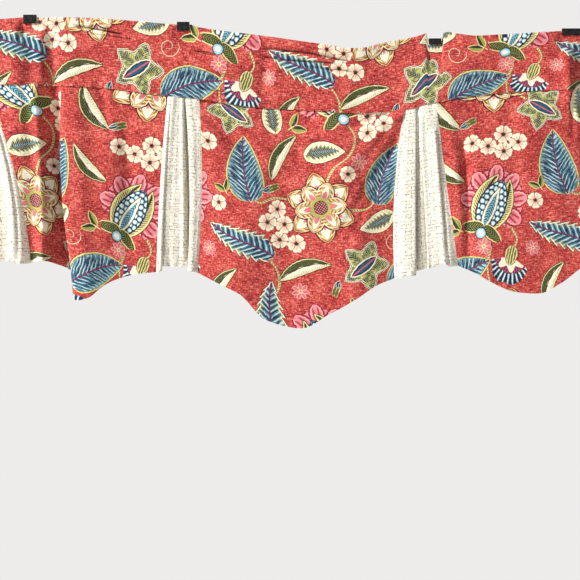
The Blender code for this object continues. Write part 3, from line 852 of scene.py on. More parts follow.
def sheet_mesh(name, places, flat, printed):
    """A closed sheet of cloth through a grid of places, with its place on the bolt and in the print."""
    rows, columns = places.shape[:2]
    out = out_of(places)
    count = rows * columns
    points = np.concatenate([places + out * CLOTH / 2, places - out * CLOTH / 2]).reshape(-1, 3)
    index = np.arange(count).reshape(rows, columns)
    front = np.stack([index[:-1, :-1], index[1:, :-1], index[1:, 1:], index[:-1, 1:]], axis=2)
    front = front.reshape(-1, 4)
    back = front[:, ::-1] + count
    loop = np.concatenate([index[:-1, 0], index[-1, :-1], index[:0:-1, -1], index[0, :0:-1]])
    following = np.roll(loop, -1)
    rim = np.stack([following, loop, loop + count, following + count], axis=1)
    quads = np.concatenate([front, back, rim])
    mesh = bpy.data.meshes.new(name)
    mesh.vertices.add(len(points))
    mesh.vertices.foreach_set("co", (points * MM).ravel())
    mesh.loops.add(quads.size)
    mesh.loops.foreach_set("vertex_index", quads.ravel())
    mesh.polygons.add(len(quads))
    mesh.polygons.foreach_set("loop_start", np.arange(len(quads)) * 4)
    mesh.update(calc_edges=True)
    mesh.shade_smooth()
    mesh.set_sharp_from_angle(angle=math.radians(SHARP))
    wrong = np.zeros(len(quads))
    wrong[len(front) : len(front) * 2] = 1
    # painted shade: a dark line along each narrow crease and pleat fold, standing in for the shadow in it
    crease_shade = crease_shade_at(points[:, 0], points[:, 2])
    for attribute, domain, values in (("wrong_side", "FACE", wrong), ("crease_shade", "POINT", crease_shade)):
        mesh.attributes.new(attribute, "FLOAT", domain).data.foreach_set("value", values)
    bolt = flat.reshape(-1, 2) + (CUT_AT[name] if printed else (0, 0))
    corners = quads % count
    add_uv(mesh, "cloth", bolt[corners])
    if printed:
        print_on(mesh, bolt, corners)
    return mesh


def add_uv(mesh, name, corners):
    layer = mesh.uv_layers.new(name=name)
    layer.uv.foreach_set("vector", corners.reshape(-1))


def print_on(mesh, bolt, corners):
    """Give each face its motif's material, and each corner its place in the motif and beside a stem."""
    centres = bolt[corners].mean(axis=1)
    chosen = motif_at(centres)
    kinds = list(MOTIF_SIZES)
    slot = np.zeros(len(corners), int)
    local = np.zeros((len(corners), 4, 2))
    for number, (kind, *_) in enumerate(MOTIFS):
        mine = np.flatnonzero(chosen == number)
        slot[mine] = kinds.index(kind) + 1
        for corner in range(4):
            u, v = in_motif(bolt[corners[mine, corner]], number, centres[mine])
            local[mine, corner, 0], local[mine, corner, 1] = u, v
    add_uv(mesh, "motif", local)
    stem = np.full((len(corners), 4, 2), FAR)
    best = np.full(len(corners), FAR)
    for along, aside in beside_vines(bolt % np.array(TILE)):
        aside_here = aside[corners]
        away = np.abs(aside_here).max(axis=1)
        closer = away < best
        best = np.where(closer, away, best)
        stem[closer] = np.stack([along[corners], aside_here], axis=2)[closer]
    add_uv(mesh, "stem", stem)
    mesh.polygons.foreach_set("material_index", slot)


# ---------------------------------------------------------------- colours, sRGB from 0 to 255
CORAL = (195, 67, 60)
CORAL_DEEP = (126, 30, 36)
CORAL_PALE = (236, 128, 113)
CREAM = (250, 240, 212)
BUTTER = (236, 218, 150)
WHITE = (246, 244, 236)
LIME = (176, 178, 88)
OLIVE = (92, 98, 42)
MOSS = (46, 54, 30)
TEAL = (44, 104, 128)
SKY = (160, 208, 216)
NAVY = (27, 36, 66)
PLUM = (112, 44, 84)
ROSE = (222, 88, 108)
BLUSH = (246, 168, 164)
PEACH = (247, 208, 176)
RUST = (176, 78, 44)
MAROON = (94, 20, 30)
CRIMSON = (150, 20, 52)
INK = (46, 24, 27)
LINEN = (252, 248, 236)
LINEN_DEEP = (218, 208, 184)
DASH = (112, 102, 86)
FADED = (222, 150, 138)
CLIP_BLACK = (12, 12, 13)
CLIP_WORN = (44, 43, 44)


def linear(colour):
    """An sRGB colour as the light values that shaders use."""
    start, slope, offset, power = 0.04045, 12.92, 0.055, 2.4
    shares = [channel / 255 for channel in colour]
    values = [v / slope if v <= start else ((v + offset) / (1 + offset)) ** power for v in shares]
    return (*values, 1.0)


# ---------------------------------------------------------------- numbers and layers of paint in a material
ALMOST_NONE = 0.0001  # keeps what is raised to a power above 0


class Wire:
    """A number in a material's node tree."""

    def __init__(self, tree, socket):
        self.tree = tree
        self.socket = socket

    def math(self, operation, *others):
        node = self.tree.nodes.new("ShaderNodeMath")
        node.operation = operation
        for slot, value in zip(node.inputs, (self, *others)):
            plug(self.tree, value, slot)
        return Wire(self.tree, node.outputs[0])

    def __rsub__(self, other):
        return self * -1 + other

    def __pow__(self, power):
        return self.math("MAXIMUM", ALMOST_NONE).math("POWER", power)

    def rise(self, start, end):
        """0 up to the start, 1 from the end on, and a soft rise between."""
        node = self.tree.nodes.new("ShaderNodeMapRange")
        node.interpolation_type = "SMOOTHSTEP"
        plug(self.tree, self, node.inputs[0])
        node.inputs[1].default_value = start
        node.inputs[2].default_value = end
        return Wire(self.tree, node.outputs[0])


def method_of(operation):
    """A method of Wire that sends it through one node of arithmetic."""
    return lambda wire, *others: wire.math(operation, *others)


OPERATIONS = {
    "__add__": "ADD",
    "__radd__": "ADD",
    "__sub__": "SUBTRACT",
    "__mul__": "MULTIPLY",
    "__rmul__": "MULTIPLY",
    "__truediv__": "DIVIDE",
    "__abs__": "ABSOLUTE",
    "most": "MAXIMUM",
    "least": "MINIMUM",
    "fraction": "FRACT",
    "sine": "SINE",
    "cosine": "COSINE",
}
for method_name, operation in OPERATIONS.items():
    setattr(Wire, method_name, method_of(operation))


def plug(tree, value, slot):
    """Give an input a wire, a socket, a colour or a number."""
    if isinstance(value, Wire):
        tree.links.new(value.socket, slot)
    elif isinstance(value, bpy.types.NodeSocket):
        tree.links.new(value, slot)
    elif isinstance(value, tuple):
        slot.default_value = linear(value)
    else:
        slot.default_value = value


STROKE_SOFT = 0.12  # how soft the sides of a stroke are, for each unit of its pitch


class Paint:
    """A material, and the colour of what is painted on it so far."""

    def __init__(self, name):
        self.material = bpy.data.materials.new(name)
        self.material.use_nodes = True
        self.tree = self.material.node_tree
        self.shader = self.tree.nodes["Principled BSDF"]
        self.colour = None
        self.soft = 0.02

    def node(self, kind, **settings):
        made = self.tree.nodes.new(kind)
        for key, value in settings.items():
            setattr(made, key, value)
        return made

    def wire(self, socket):
        return Wire(self.tree, socket)

    def flat(self, layer):
        """The two coordinates of a UV map."""
        parts = self.node("ShaderNodeSeparateXYZ")
        uv = self.node("ShaderNodeUVMap", uv_map=layer)
        self.tree.links.new(uv.outputs[0], parts.inputs[0])
        return self.wire(parts.outputs[0]), self.wire(parts.outputs[1])

    def attribute(self, name):
        """A number that the mesh carries."""
        return self.wire(self.node("ShaderNodeAttribute", attribute_name=name).outputs["Fac"])

    def texture(self, vector, scale, detail, rough=0.5):
        made = self.node("ShaderNodeTexNoise")
        plug(self.tree, vector, made.inputs["Vector"])
        for name, value in (("Scale", scale), ("Detail", detail), ("Roughness", rough)):
            made.inputs[name].default_value = value
        return self.wire(made.outputs["Fac"])

    def noise(self, x, y, detail, seed, rough=0.5):
        """Soft random values around 0.5, one blotch about every unit of x and y."""
        joined = self.node("ShaderNodeCombineXYZ")
        for value, slot in zip((x, y, seed), joined.inputs):
            plug(self.tree, value, slot)
        return self.texture(joined.outputs[0], 1.0, detail, rough)

    def mottle(self, scale, detail):
        """Soft random values around 0.5 in the piece's own space, so many to a metre."""
        return self.texture(self.node("ShaderNodeTexCoord").outputs["Object"], scale, detail)

    def mixed(self, mask, below, above):
        mix = self.node("ShaderNodeMix", data_type="RGBA")
        plug(self.tree, mask, mix.inputs[0])
        plug(self.tree, below, mix.inputs[6])
        plug(self.tree, above, mix.inputs[7])
        return mix.outputs[2]

    def lay(self, colour, mask):
        """Paint a colour where the mask is 1."""
        self.colour = self.mixed(mask, self.colour, colour)

    def inside(self, *edges):
        """1 where the distance from every one of the edges is positive."""
        mask, *others = [edge.rise(-self.soft, self.soft) for edge in edges]
        for other in others:
            mask = mask * other
        return mask

    def nest(self, edge, *rings):
        """Paint colours one in the other. Each reaches so far out of the edge, and covers by its share."""
        for out, colour, share in rings:
            self.lay(colour, self.inside(edge + out) * share)

    def band(self, edge, low, high):
        """1 where the distance from an edge is between the two."""
        return self.inside(edge - low, high - edge)

    def strokes(self, along, count, share):
        """Strokes across a number: so many for each unit of it, each filling this share of its pitch."""
        wave = abs((along * count).fraction() - 0.5)
        return (share / 2 - wave).rise(-STROKE_SOFT, STROKE_SOFT)

    def finish(self, height, bump, distance, roughness, specular):
        """Plug in the colour, the bump of a height, the roughness and the gloss."""
        raised = self.node("ShaderNodeBump")
        raised.inputs["Strength"].default_value = bump
        raised.inputs["Distance"].default_value = distance
        plug(self.tree, height, raised.inputs["Height"])
        plug(self.tree, raised.outputs[0], self.shader.inputs["Normal"])
        plug(self.tree, self.colour, self.shader.inputs["Base Color"])
        plug(self.tree, roughness, self.shader.inputs["Roughness"])
        self.shader.inputs["Specular IOR Level"].default_value = specular


# ---------------------------------------------------------------- motifs
def leaf_edge(u, v, half, base=0.5, tip=1, teeth=0, tooth=0, start=-1, end=1):
    """How far inside a leaf's edge (u, v) is. The leaf runs along u, with its tip at the end."""
    share = (u - start) / (end - start)
    peak = (base / (base + tip)) ** base * (tip / (base + tip)) ** tip
    width = share**base * (1 - share) ** tip * (half / peak)
    if teeth:
        width = width * (1 - tooth * (u * teeth).fraction())
    beyond = (abs(u - (start + end) / 2) - (end - start) / 2).most(0)
    return width - abs(v) - beyond


def petals(u, v, count, turn=0):
    """Fold the plane into one petal: places along it and aside, and the radius and angle before that."""
    out = (u * u + v * v) ** 0.5
    angle = v.math("ARCTAN2", u) + turn
    wedge = 2 * math.pi / count
    folded = ((angle / wedge).fraction() - 0.5) * wedge
    return out * folded.cosine(), out * folded.sine(), out, angle


def draw_blossom(paint, u, v):
    x, y, out, angle = petals(u, v, 5)
    notch = 0.90 + 0.35 * abs(y) - x
    petal = leaf_edge(x, y, 0.455, 0.85, 0.34, start=0, end=0.97).least(notch)
    paint.nest(petal, (0.05, RUST, 0.8), (0, CREAM, 1), (-0.12, PEACH, x.rise(0.85, 0.35)))
    paint.lay(MAROON, paint.inside(abs(y) - x * 0.727 + 0.05, 0.95 - out) * 0.75)
    paint.lay(RUST, paint.inside(0.022 - abs(y), 0.66 - x, petal) * 0.6)
    paint.lay(MAROON, paint.inside(0.24 - out + 0.06 * (angle * 10).sine()))
    paint.lay(INK, paint.inside(0.12 - out))


def draw_star(paint, u, v):
    x, y, out, _ = petals(u, v, 7)
    petal = leaf_edge(x, y, 0.24, 0.9, 0.7, start=0.08, end=0.97)
    paint.nest(petal, (0.05, MAROON, 0.45), (0, BLUSH, 1), (-0.09, CORAL, 0.7))
    paint.nest(0.20 - out, (0, BUTTER, 1), (-0.10, RUST, 1))


def draw_bloom(paint, u, v):
    for turn, far, half, shade in ((0, 0.99, 0.285, BUTTER), (math.pi / 6, 0.74, 0.23, CREAM)):
        x, y, out, angle = petals(u, v, 6, turn)
        petal = leaf_edge(x, y, half, 0.9, 0.72, start=0, end=far)
        paint.nest(petal, (0.045, MAROON, 1), (0, shade, 1))
        curls = (abs(y * 7) + x * 9).fraction()
        paint.lay(BUTTER, paint.band(petal, 0.02, 0.12))
        paint.lay(RUST, paint.band(petal, 0.025, 0.095) * (curls - 0.45).rise(-0.12, 0.12))
        paint.lay(MAROON, paint.band(petal, 0.110, 0.130) * 0.8)
        paint.nest(petal, (-0.13, CREAM, 1), (-0.13, LIME, x.rise(0.62 * far, 0.30 * far) * 0.7))
        veins = paint.strokes(y / (x + 0.2), 15, 0.30) * paint.inside(petal - 0.06)
        paint.lay(OLIVE, veins * (x - 0.66 * far).rise(0.12, -0.12) * 0.85)
        eye = leaf_edge(x, y, 0.07, 0.8, 0.8, start=0.15, end=0.66 * far)
        paint.lay(ROSE, paint.inside(eye) * 0.85)
    paint.lay(LIME, paint.inside(0.28 - out + 0.035 * (angle * 14).sine()) * 0.95)
    lattice = paint.strokes(u + v, 12, 0.5) * paint.strokes(u - v, 12, 0.5)
    paint.nest(0.20 - out, (0, MAROON, 1), (-0.02, BLUSH, lattice))


def draw_tulip(paint, u, v):
    # Two rings of pointed pink petals behind, open at the foot
    slim = MOTIF_SIZES["tulip"][1]
    above_foot = (u + 0.40).rise(-0.02, 0.02)
    for turn, far, half in ((math.pi / 9, 0.82, 0.19), (0, 0.94, 0.20)):
        x, y, *_ = petals(u, v / slim, 9, turn)
        petal = leaf_edge(x, y, half, 1, 0.50, start=0, end=far).least(0.30 * x - abs(y))
        petal = petal - 0.02 * abs((x * 30).sine()) * (y * y).rise(0, 0.02)
        paint.nest(petal, (0.05, CRIMSON, above_foot), (0, BLUSH, above_foot), (-0.05, ROSE, above_foot))
        inner = paint.inside(petal - 0.065) * above_foot
        paint.lay(BLUSH, inner * x.rise(0.50 * far, 0.95 * far) * 0.6)
        rays = inner * paint.strokes(y / (x + 0.1), 6.5, 0.36)
        paint.lay(CRIMSON, rays * x.rise(0.95 * far, 0.84 * far) * 0.9)
    # Two side lobes curl out
    side = abs(v) - 0.28 + 0.30 * (u - 0.05) * (u - 0.05)
    lobe = leaf_edge(u, side, 0.22, 0.7, 0.9, start=-0.78, end=0.70)
    lines = paint.strokes(u * 1.2 - abs(v), 13, 0.5)
    paint.nest(lobe, (0.022, INK, 1), (0, BUTTER, 1), (-0.045, OLIVE, lines))
    paint.lay(MOSS, paint.inside(0.030 - abs(side), lobe - 0.03))
    # The heart: rows of scales, with a pale tongue down its middle
    heart = leaf_edge(u, v, 0.34, 0.6, 0.75, start=-0.70, end=0.60)
    down = u * 7.5
    cell_x = (v * 7.5 + down.math("FLOOR") * 0.5).fraction() - 0.5
    cell_y = down.fraction() - 0.5
    reach = (cell_x * cell_x + cell_y * cell_y) ** 0.5
    rims, middles = ((radius - reach).rise(-0.07, 0.07) for radius in (0.44, 0.30))
    paint.nest(heart, (0.02, NAVY, 1), (-0.02, SKY, rims), (-0.02, WHITE, middles))
    tongue = leaf_edge(u, v, 0.13, 0.7, 1, start=-0.68, end=0.42)
    lines = paint.strokes(u + abs(v), 14, 0.3)
    paint.nest(tongue, (0.02, INK, 1), (0, CREAM, 1), (-0.05, TEAL, 1), (-0.05, SKY, lines))
    # Leaves under it, and its knob
    fallen_x = (u + 0.62) * -0.35 + abs(v) * 0.94
    fallen_y = (u + 0.62) * 0.94 + abs(v) * 0.35
    leaf = leaf_edge(fallen_x, fallen_y, 0.12, 0.6, 0.9, start=0, end=0.62)
    lines = paint.strokes(fallen_x + abs(fallen_y), 16, 0.3) * 0.7
    paint.nest(leaf, (0.03, BUTTER, 1), (0, MOSS, 1), (-0.02, LIME, lines))
    knob = 0.12 - ((u + 0.80) * (u + 0.80) + v * v) ** 0.5
    paint.nest(knob, (0.02, NAVY, 1), (0, SKY, 1), (-0.05, WHITE, 1))


def draw_carnation(paint, u, v):
    _, y, out, angle = petals(u + 0.45, v, 30)
    spread = (1.20 - abs(angle)).rise(-0.03, 0.03)
    edge = 1.26 - out + 0.10 * abs((angle * 6).sine())
    paint.lay(NAVY, spread * paint.inside(edge))
    paint.lay(SKY, spread * paint.inside(edge, out - 0.80, 0.045 - abs(y)))
    paint.lay(WHITE, spread * paint.inside(edge - 0.10, out - 0.86, 0.022 - abs(y)))
    paint.lay(PLUM, spread * paint.inside(0.86 - out) * paint.strokes(angle, 3, 0.66))
    paint.lay(ROSE, spread * paint.inside(0.80 - out) * paint.strokes(angle + 0.1, 6, 0.3))
    paint.lay(CREAM, spread * paint.inside(0.64 - out + 0.14 * (angle * 7).sine()))
    cup = leaf_edge(u, v, 0.30, 0.5, 0.7, start=-0.98, end=-0.02)
    paint.nest(cup, (0.035, INK, 1), (0, BUTTER, 1), (-0.05, OLIVE, paint.strokes(abs(v), 8, 0.6)))


def draw_heart_leaf(paint, u, v):
    bent = v + 0.12 * u * u - 0.05
    edge = leaf_edge(u, bent, 0.54, 0.40, 0.80, start=-0.96, end=0.97)
    paint.nest(edge, (0.026, MOSS, 0.8), (0.010, BUTTER, 1), (-0.018, LIME, 1), (-0.040, MOSS, 1))
    # Its body is paler towards the rim, with pale side veins that wander, and a plum rib
    body = paint.inside(edge - 0.05)
    paint.lay(TEAL, body)
    paint.lay(NAVY, body * bent.rise(-0.10, 0.35) * 0.60)
    wander = 0.10 * (paint.noise(u * 4, bent * 4, 1, 45) - 0.5)
    skew = u - abs(bent) * (1 - 0.35 * u) + wander
    veins = 6.5
    brush = paint.noise(skew * (veins * 3.6), bent * 5, 2, 41)
    paint.lay(NAVY, body * brush.rise(0.52, 0.40) * 0.75)
    paint.lay(SKY, body * brush.rise(0.54, 0.64) * 0.65)
    paint.lay(SKY, body * edge.rise(0.20, 0.04) * brush.rise(0.42, 0.52) * 0.75)
    paint.lay(NAVY, body * paint.strokes(skew + 0.45 / veins, veins, 0.26) * 0.65)
    paint.lay(SKY, body * paint.strokes(skew, veins, 0.18) * brush.rise(0.36, 0.46))
    paint.lay(WHITE, body * paint.strokes(skew, veins, 0.10) * brush.rise(0.42, 0.50) * 0.9)
    paint.lay(PLUM, paint.inside(0.024 - abs(bent), edge - 0.03))


def draw_saw_leaf(paint, u, v):
    bent = v - 0.14 * (u * 1.8).sine()
    edge = leaf_edge(u, bent, 0.42, 0.45, 0.85, teeth=4.5, tooth=0.30, start=-0.97, end=0.98)
    paint.nest(edge, (0.022, MOSS, 1), (0, CREAM, 1), (-0.035, LIME, 1))
    body = paint.inside(edge - 0.035)
    teal = (0.30 - abs(bent) - 0.16 * u + 0.04 * (u * 20).sine()).rise(0, 0.14)
    paint.lay(TEAL, body * teal)
    skew = u - 0.9 * abs(bent)
    brush = paint.noise(skew * 22, bent * 5, 2, 43)
    paint.lay(NAVY, body * teal * brush.rise(0.52, 0.40) * 0.80)
    paint.lay(SKY, body * brush.rise(0.54, 0.64) * 0.75)
    paint.lay(NAVY, body * paint.strokes(skew + 0.08, 6, 0.30) * 0.75)
    paint.lay(SKY, body * paint.strokes(skew, 6, 0.26) * brush.rise(0.34, 0.44))
    paint.lay(WHITE, body * paint.strokes(skew, 6, 0.10) * brush.rise(0.42, 0.52))
    paint.lay(PLUM, paint.inside(0.024 - abs(bent), edge - 0.02))


def draw_split_leaf(paint, u, v):
    bent = v + 0.24 * u * u - 0.12
    edge = leaf_edge(u, bent, 0.27, 0.7, 0.9, start=-0.97, end=0.98)
    dark = (bent + 0.03 * (u * 11).sine()).rise(-0.015, 0.015)
    light = 1 - dark
    skew = u + 0.8 * abs(bent)
    veins = light * paint.strokes(skew, 14, 0.34) * edge.rise(0.20, 0.02) * 0.9
    paint.nest(edge, (0.032, INK, 1), (0, BUTTER, 1), (-0.035, CREAM, light), (-0.035, OLIVE, veins))
    glints = dark * paint.strokes(skew, 14, 0.22) * 0.45
    paint.nest(edge, (-0.035, MOSS, dark), (-0.035, LIME, glints))
    paint.lay(INK, paint.inside(0.014 - abs(bent), edge))


def draw_vine_leaf(paint, u, v):
    x, y, out, _ = petals(u + 0.10, v, 5, math.pi / 5)
    nick = 0.10 * ((x + abs(y)) * 6.5).fraction()
    lobe = (leaf_edge(x, y, 0.37, 0.75, 0.95, start=-0.20, end=1) - nick).most(0.44 - out)
    paint.nest(lobe, (0.03, INK, 1), (0, CREAM, 1), (-0.045, LIME, 1))
    blotch = paint.noise(u * 6, v * 6, 2, 3)
    body = paint.inside(lobe - 0.045)
    paint.lay(OLIVE, body * (blotch + 0.6 * (0.22 - abs(y))).rise(0.46, 0.56))
    paint.lay(MOSS, body * (blotch + 0.6 * (0.16 - abs(y))).rise(0.56, 0.66) * 0.8)
    paint.lay(CREAM, body * paint.strokes(x - abs(y), 11, 0.16) * 0.7)
    heart = leaf_edge(u, v, 0.17, 0.8, 0.9, start=-0.60, end=0.55)
    paint.nest(heart, (0.045, CREAM, 1), (0, NAVY, 1), (-0.05, TEAL, 0.7))
    paint.lay(ROSE, paint.inside(0.020 - abs(v), heart - 0.03))


def draw_pale_leaf(paint, u, v):
    edge = leaf_edge(u, v + 0.08 * u * u, 0.50, 0.55, 0.90, start=-0.96, end=0.98)
    paint.nest(edge, (0.045, INK, 0.9), (0, CREAM, 1))
    paint.lay(BUTTER, paint.band(edge, 0.05, 0.12) * 0.8)
    skew = u - 0.9 * abs(v)
    feather = edge - 0.16 - 0.16 * (skew * 5).fraction()
    paint.nest(feather, (0.05, LIME, 0.8), (0, MOSS, 1))
    paint.lay(TEAL, paint.inside(0.05 - abs(v), 0.6 - abs(u)))
    paint.lay(CREAM, paint.inside(feather) * paint.strokes(skew, 10, 0.18) * 0.7)


def draw_sprig(paint, u, v):
    lean = 0.6
    side = abs(v)
    x = (u + 0.7) * math.cos(lean) + side * math.sin(lean)
    y = side * math.cos(lean) - (u + 0.7) * math.sin(lean)
    leaf = leaf_edge(x, y, 0.24, 0.6, 0.9, start=0.12, end=1.25)
    paint.nest(leaf, (0.06, BUTTER, 1), (0, MOSS, 1), (0, LIME, y.rise(-0.03, 0.03) * 0.8))
    paint.lay(BUTTER, paint.inside(0.04 - side, -0.35 - u, u + 0.95))


def draw_bud(paint, u, v):
    bud = leaf_edge(u, v, 0.34, 0.6, 0.8, start=-0.6, end=0.92)
    paint.nest(bud, (0.06, CREAM, 1), (0, NAVY, 1), (-0.08, SKY, paint.strokes(v + 0.2, 4, 0.3)))
    cup = leaf_edge(u, abs(v) - 0.16, 0.16, 0.5, 0.8, start=-0.92, end=0.25)
    paint.nest(cup, (0.04, BUTTER, 1), (0, OLIVE, 1))


def draw_curl(paint, u, v):
    out = (u * u + v * v) ** 0.5
    turns = v.math("ARCTAN2", u) / (2 * math.pi)
    spacing = 0.62
    arm = ((out / spacing - turns).fraction() - 0.5) * spacing
    ring = paint.inside(0.95 - out, out - 0.14)
    paint.nest(0.022 + 0.022 * out - abs(arm), (0.035, MAROON, ring * 0.5), (0, PEACH, ring * 0.9))


DRAWINGS = {
    "bloom": draw_bloom,
    "tulip": draw_tulip,
    "carnation": draw_carnation,
    "heart_leaf": draw_heart_leaf,
    "saw_leaf": draw_saw_leaf,
    "split_leaf": draw_split_leaf,
    "vine_leaf": draw_vine_leaf,
    "pale_leaf": draw_pale_leaf,
    "blossom": draw_blossom,
    "star": draw_star,
    "sprig": draw_sprig,
    "bud": draw_bud,
    "curl": draw_curl,
}

# ---------------------------------------------------------------- cloth materials
PRINT_SOFT = 0.35  # mm over which one printed colour gives way to the next
WOBBLE = 1.1  # mm by which the print's lines wander
STEM_HALF = 1.5  # half the width of a stem
STEM_SWELL = (0.35, 9)  # how far it swells and thins again, and the length of stem for each radian of that
STEM_RIM = (0.6, 0.5)  # the width of its dark outline, and of its pale rim
YARNS = 5.2  # radians of the weave's ripple for each mm
YARN_HIGH = 0.12  # the height of that beside the slubs'
SLUB_DARK, SLUB_PALE = 0.42, 0.20  # how far thin yarns darken the print, and thick ones pale it
SLUB_SMOOTH = 0.12  # how much less rough a thick yarn is
FADE = 0.72  # how far the print has gone on its wrong side
CHECK_PITCH = (6.5, 5.4)  # between the upright dashes of the plain cloth, and between its level ones
CHECK_BEND = (5, 4)  # how far they bend aside, and up
CREASE_SHADE_DARK = 0.55  # how dark the painted shade in a narrow crease is
CLOTH_BUMP = 0.4  # height of the yarns' bumps in mm
CLOTH_GLOSS = 0.25
CLOTH_SHEEN = {"Sheen Weight": 0.08, "Sheen Roughness": 0.5}


def slubs(paint, s, t):
    """The cloth's uneven yarns, around 0.5: some run across, some up, over a fine mottle."""
    across = paint.noise(s / 9, t / 1.5, 2, 1)
    up = paint.noise(s / 1.4, t / 7, 2, 5)
    mottle = paint.noise(s / 3.4, t / 3, 3, 9, 0.7)
    return 0.36 * across + 0.26 * up + 0.38 * mottle


def draw_ground(paint, s, t, slub):
    """The coral ground with its heathered look."""
    patches = paint.noise(s / 30, t / 24, 2, 2)
    heather = slub + 0.22 * (patches - 0.5)
    paint.colour = paint.mixed(heather.rise(0.38, 0.52), CORAL_DEEP, CORAL)
    paint.lay(CORAL_PALE, heather.rise(0.49, 0.61) * 0.85)


def draw_stem(paint):
    along, aside = paint.flat("stem")
    paint.soft = PRINT_SOFT
    swell, pitch = STEM_SWELL
    outline, rim = STEM_RIM
    edge = STEM_HALF - swell * (along / pitch).sine() - abs(aside)
    twist = paint.strokes(along + aside, 0.22, 0.45)
    paint.nest(edge, (outline, INK, 0.8), (0, BUTTER, 1), (-rim, OLIVE, twist))


def finish_cloth(paint, s, t, slub, bump, roughness):
    """Narrow creases get a painted shade line, and yarns and crinkles stand out of the surface."""
    # painted shade in the narrow creases and along the pleats' folds, laid over the print
    paint.lay(INK, paint.attribute("crease_shade") * CREASE_SHADE_DARK)
    height = slub + YARN_HIGH * (s * YARNS).sine() * (t * YARNS).sine()
    paint.finish(height, bump, CLOTH_BUMP * MM, roughness - SLUB_SMOOTH * slub, CLOTH_GLOSS)
    for name, value in CLOTH_SHEEN.items():
        paint.shader.inputs[name].default_value = value


def print_material(kind):
    """The printed cloth, with one kind of motif or with none."""
    paint = Paint("print_" + (kind or "ground"))
    s, t = paint.flat("cloth")
    slub = slubs(paint, s, t)
    draw_ground(paint, s, t, slub)
    draw_stem(paint)
    if kind:
        size = MOTIF_SIZES[kind][0]
        u, v = (
            place + (paint.noise(s / 6, t / 6, 1, seed) - 0.5) * (2 * WOBBLE / size)
            for place, seed in zip(paint.flat("motif"), (11, 17))
        )
        paint.soft = PRINT_SOFT / size
        DRAWINGS[kind](paint, u, v)
    paint.lay(INK, slub.rise(0.49, 0.36) * SLUB_DARK)
    paint.lay(WHITE, slub.rise(0.53, 0.66) * SLUB_PALE)
    paint.lay(FADED, paint.attribute("wrong_side") * FADE)
    finish_cloth(paint, s, t, slub, 0.5, 0.92)
    return paint.material


def plain_material():
    """The cream cloth of the pleats: crinkled, with a fine broken check of short dashes."""
    paint = Paint("cream_cloth")
    s, t = paint.flat("cloth")
    slub = slubs(paint, s, t)
    columns, rows = (
        abs(((place + paint.noise(s / 9, t / 9, 2, seed) * bend) / pitch).fraction() - 0.5)
        for place, seed, bend, pitch in zip((s, t), (21, 27), CHECK_BEND, CHECK_PITCH)
    )
    dashes = rows.rise(0.36, 0.46) * paint.noise(s / 3.2, t / 2.6, 2, 31).rise(0.49, 0.56)
    uprights = columns.rise(0.38, 0.47) * paint.noise(s / 2.2, t / 5, 2, 37).rise(0.50, 0.57)
    paint.colour = paint.mixed(slub.rise(0.56, 0.40), LINEN, LINEN_DEEP)
    paint.lay(DASH, dashes * 0.85)
    paint.lay(DASH, uprights * 0.8)
    paint.lay(LINEN, paint.attribute("wrong_side") * 0.6)
    finish_cloth(paint, s, t, slub - 0.5 * dashes - 0.4 * uprights, 0.8, 0.95)
    return paint.material


def clip_material():
    """Satin black, a little worn on its edges."""
    paint = Paint("clip_black")
    grain = paint.mottle(260, 4)
    edges = paint.wire(paint.node("ShaderNodeNewGeometry").outputs["Pointiness"]).rise(0.51, 0.56)
    paint.colour = paint.mixed(edges * grain.rise(0.45, 0.65), CLIP_BLACK, CLIP_WORN)
    paint.finish(grain, 0.15, 0.2 * MM, 0.42 + 0.2 * grain, 0.3)
    return paint.material


# ---------------------------------------------------------------- the pieces
def put(mesh, replaced):
    """Put a mesh in the place of the part's nodes."""
    made = bpy.data.objects.new(mesh.name, mesh)
    bpy.context.scene.collection.objects.link(made)
    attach(made, "root")
    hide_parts(*replaced)
    return made


def make_cloth():
    prints = [print_material(kind) for kind in (None, *MOTIF_SIZES)]
    places, flat = header_grid()
    width = HEADER[-1, 0] - HEADER[0, 0]
    height = 2 * HEADER_HEIGHT + HEADER_FOLD
    pieces = {"header": (places, flat, (width, height), width * height)}
    for name in (*PANELS, *PLEATS):
        skirt = Skirt(name)
        wide = skirt.width + 2 * FLAP_CELLS * STEP
        long = skirt.drop.max() + HEM_CELLS * STEP
        area = wide * (skirt.drop.mean() + HEM_CELLS * STEP)
        pieces[name] = (skirt.places, skirt.flat, (wide, long), area)
    plain = plain_material()
    for name, (places, flat, cut, area) in pieces.items():
        printed = name in CUT_AT
        mesh = sheet_mesh(name, places, flat, printed)
        for paint in prints if printed else [plain]:
            mesh.materials.append(paint)
        mesh.name = "cloth_" + name
        piece = put(mesh, [name])
        cut[0] * MM
        cut[1] * MM
        [clip[0] for clip in CLIPS] if name == "header" else ["header"]
        area * MM * MM


make_cloth()

clip_black = clip_material()
for name, *_ in CLIPS:
    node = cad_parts[name]
    for place in node.material_slots:
        place.material = clip_black


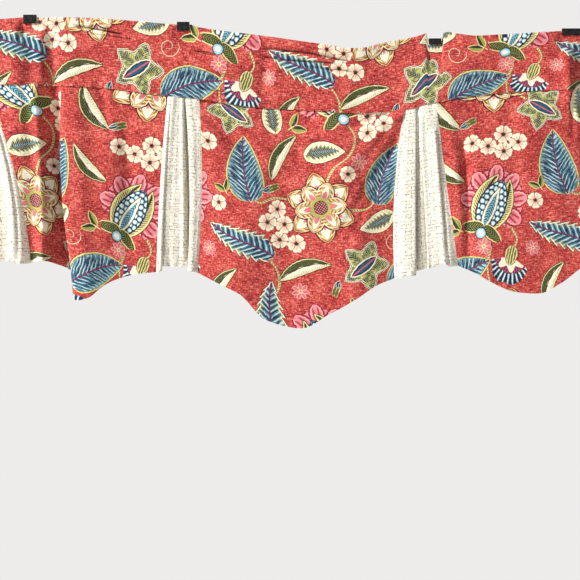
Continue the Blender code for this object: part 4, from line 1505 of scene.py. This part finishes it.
# ---------------------------------------------------------------- studio
FLOOR_BELOW = 2100.0  # a valance hangs about this high over the floor of a room
FLOOR_HALF = 7.0
WORLD_LIGHT = 0.92  # behind the valance, towards the horizon
WORLD_DIM = 0.55  # the share that is lost overhead
FRONT_DIM = 0.70  # the share that is lost in front
FLOOR_PALE = (240, 239, 237)
FLOOR_DARKER = (232, 231, 229)
SKY_PALE = (246, 245, 243)
LIT_MIDDLE = (0.0, 0.0, -0.17)  # in metres, as all of LAMPS
LAMPS = [
    # name, place, size, power
    ("key", (-7.6, -4.3, 5.0), (1.3, 1.3), 1600.0),
    ("fill", (2.2, -2.6, 0.2), (2.0, 2.0), 5.0),
    ("back", (0.5, 2.6, 1.4), (2.0, 1.5), 22.0),
]


def make_floor():
    half, low = FLOOR_HALF, -FLOOR_BELOW * MM
    corners = [(-half, -half, low), (half, -half, low), (half, half, low), (-half, half, low)]
    mesh = bpy.data.meshes.new("floor")
    mesh.from_pydata(corners, [], [(0, 1, 2, 3)])
    floor = bpy.data.objects.new("floor", mesh)
    bpy.context.scene.collection.objects.link(floor)
    paint = Paint("floor_pale")
    paint.colour = paint.mixed(paint.mottle(0.6, 2.0), FLOOR_DARKER, FLOOR_PALE)
    plug(paint.tree, paint.colour, paint.shader.inputs["Base Color"])
    paint.shader.inputs["Roughness"].default_value = 0.9
    mesh.materials.append(paint.material)


def make_world():
    """Pale light from all around, brightest behind the valance and towards the horizon."""
    world = bpy.data.worlds.new("studio")
    world.use_nodes = True
    tree = world.node_tree
    background = tree.nodes["Background"]
    background.inputs["Color"].default_value = linear(SKY_PALE)
    ways = tree.nodes.new("ShaderNodeTexCoord")
    parts = tree.nodes.new("ShaderNodeSeparateXYZ")
    tree.links.new(ways.outputs["Generated"], parts.inputs[0])
    in_front = Wire(tree, parts.outputs[1]).rise(0.5, -0.3)
    overhead = Wire(tree, parts.outputs[2]).rise(0.2, 0.7)
    bright = WORLD_LIGHT * (1 - FRONT_DIM * in_front) * (1 - WORLD_DIM * overhead)
    plug(tree, bright, background.inputs["Strength"])
    bpy.context.scene.world = world


def make_lamps():
    for name, place, size, power in LAMPS:
        lamp = bpy.data.lights.new(name, "AREA")
        lamp.shape = "RECTANGLE"
        lamp.size, lamp.size_y = size
        lamp.energy = power
        lit = bpy.data.objects.new(name, lamp)
        lit.location = place
        towards = Vector(LIT_MIDDLE) - Vector(place)
        lit.rotation_euler = towards.to_track_quat("-Z", "Y").to_euler()
        bpy.context.scene.collection.objects.link(lit)


make_floor()
make_world()
make_lamps()
bpy.context.scene.view_settings.view_transform = "Standard"
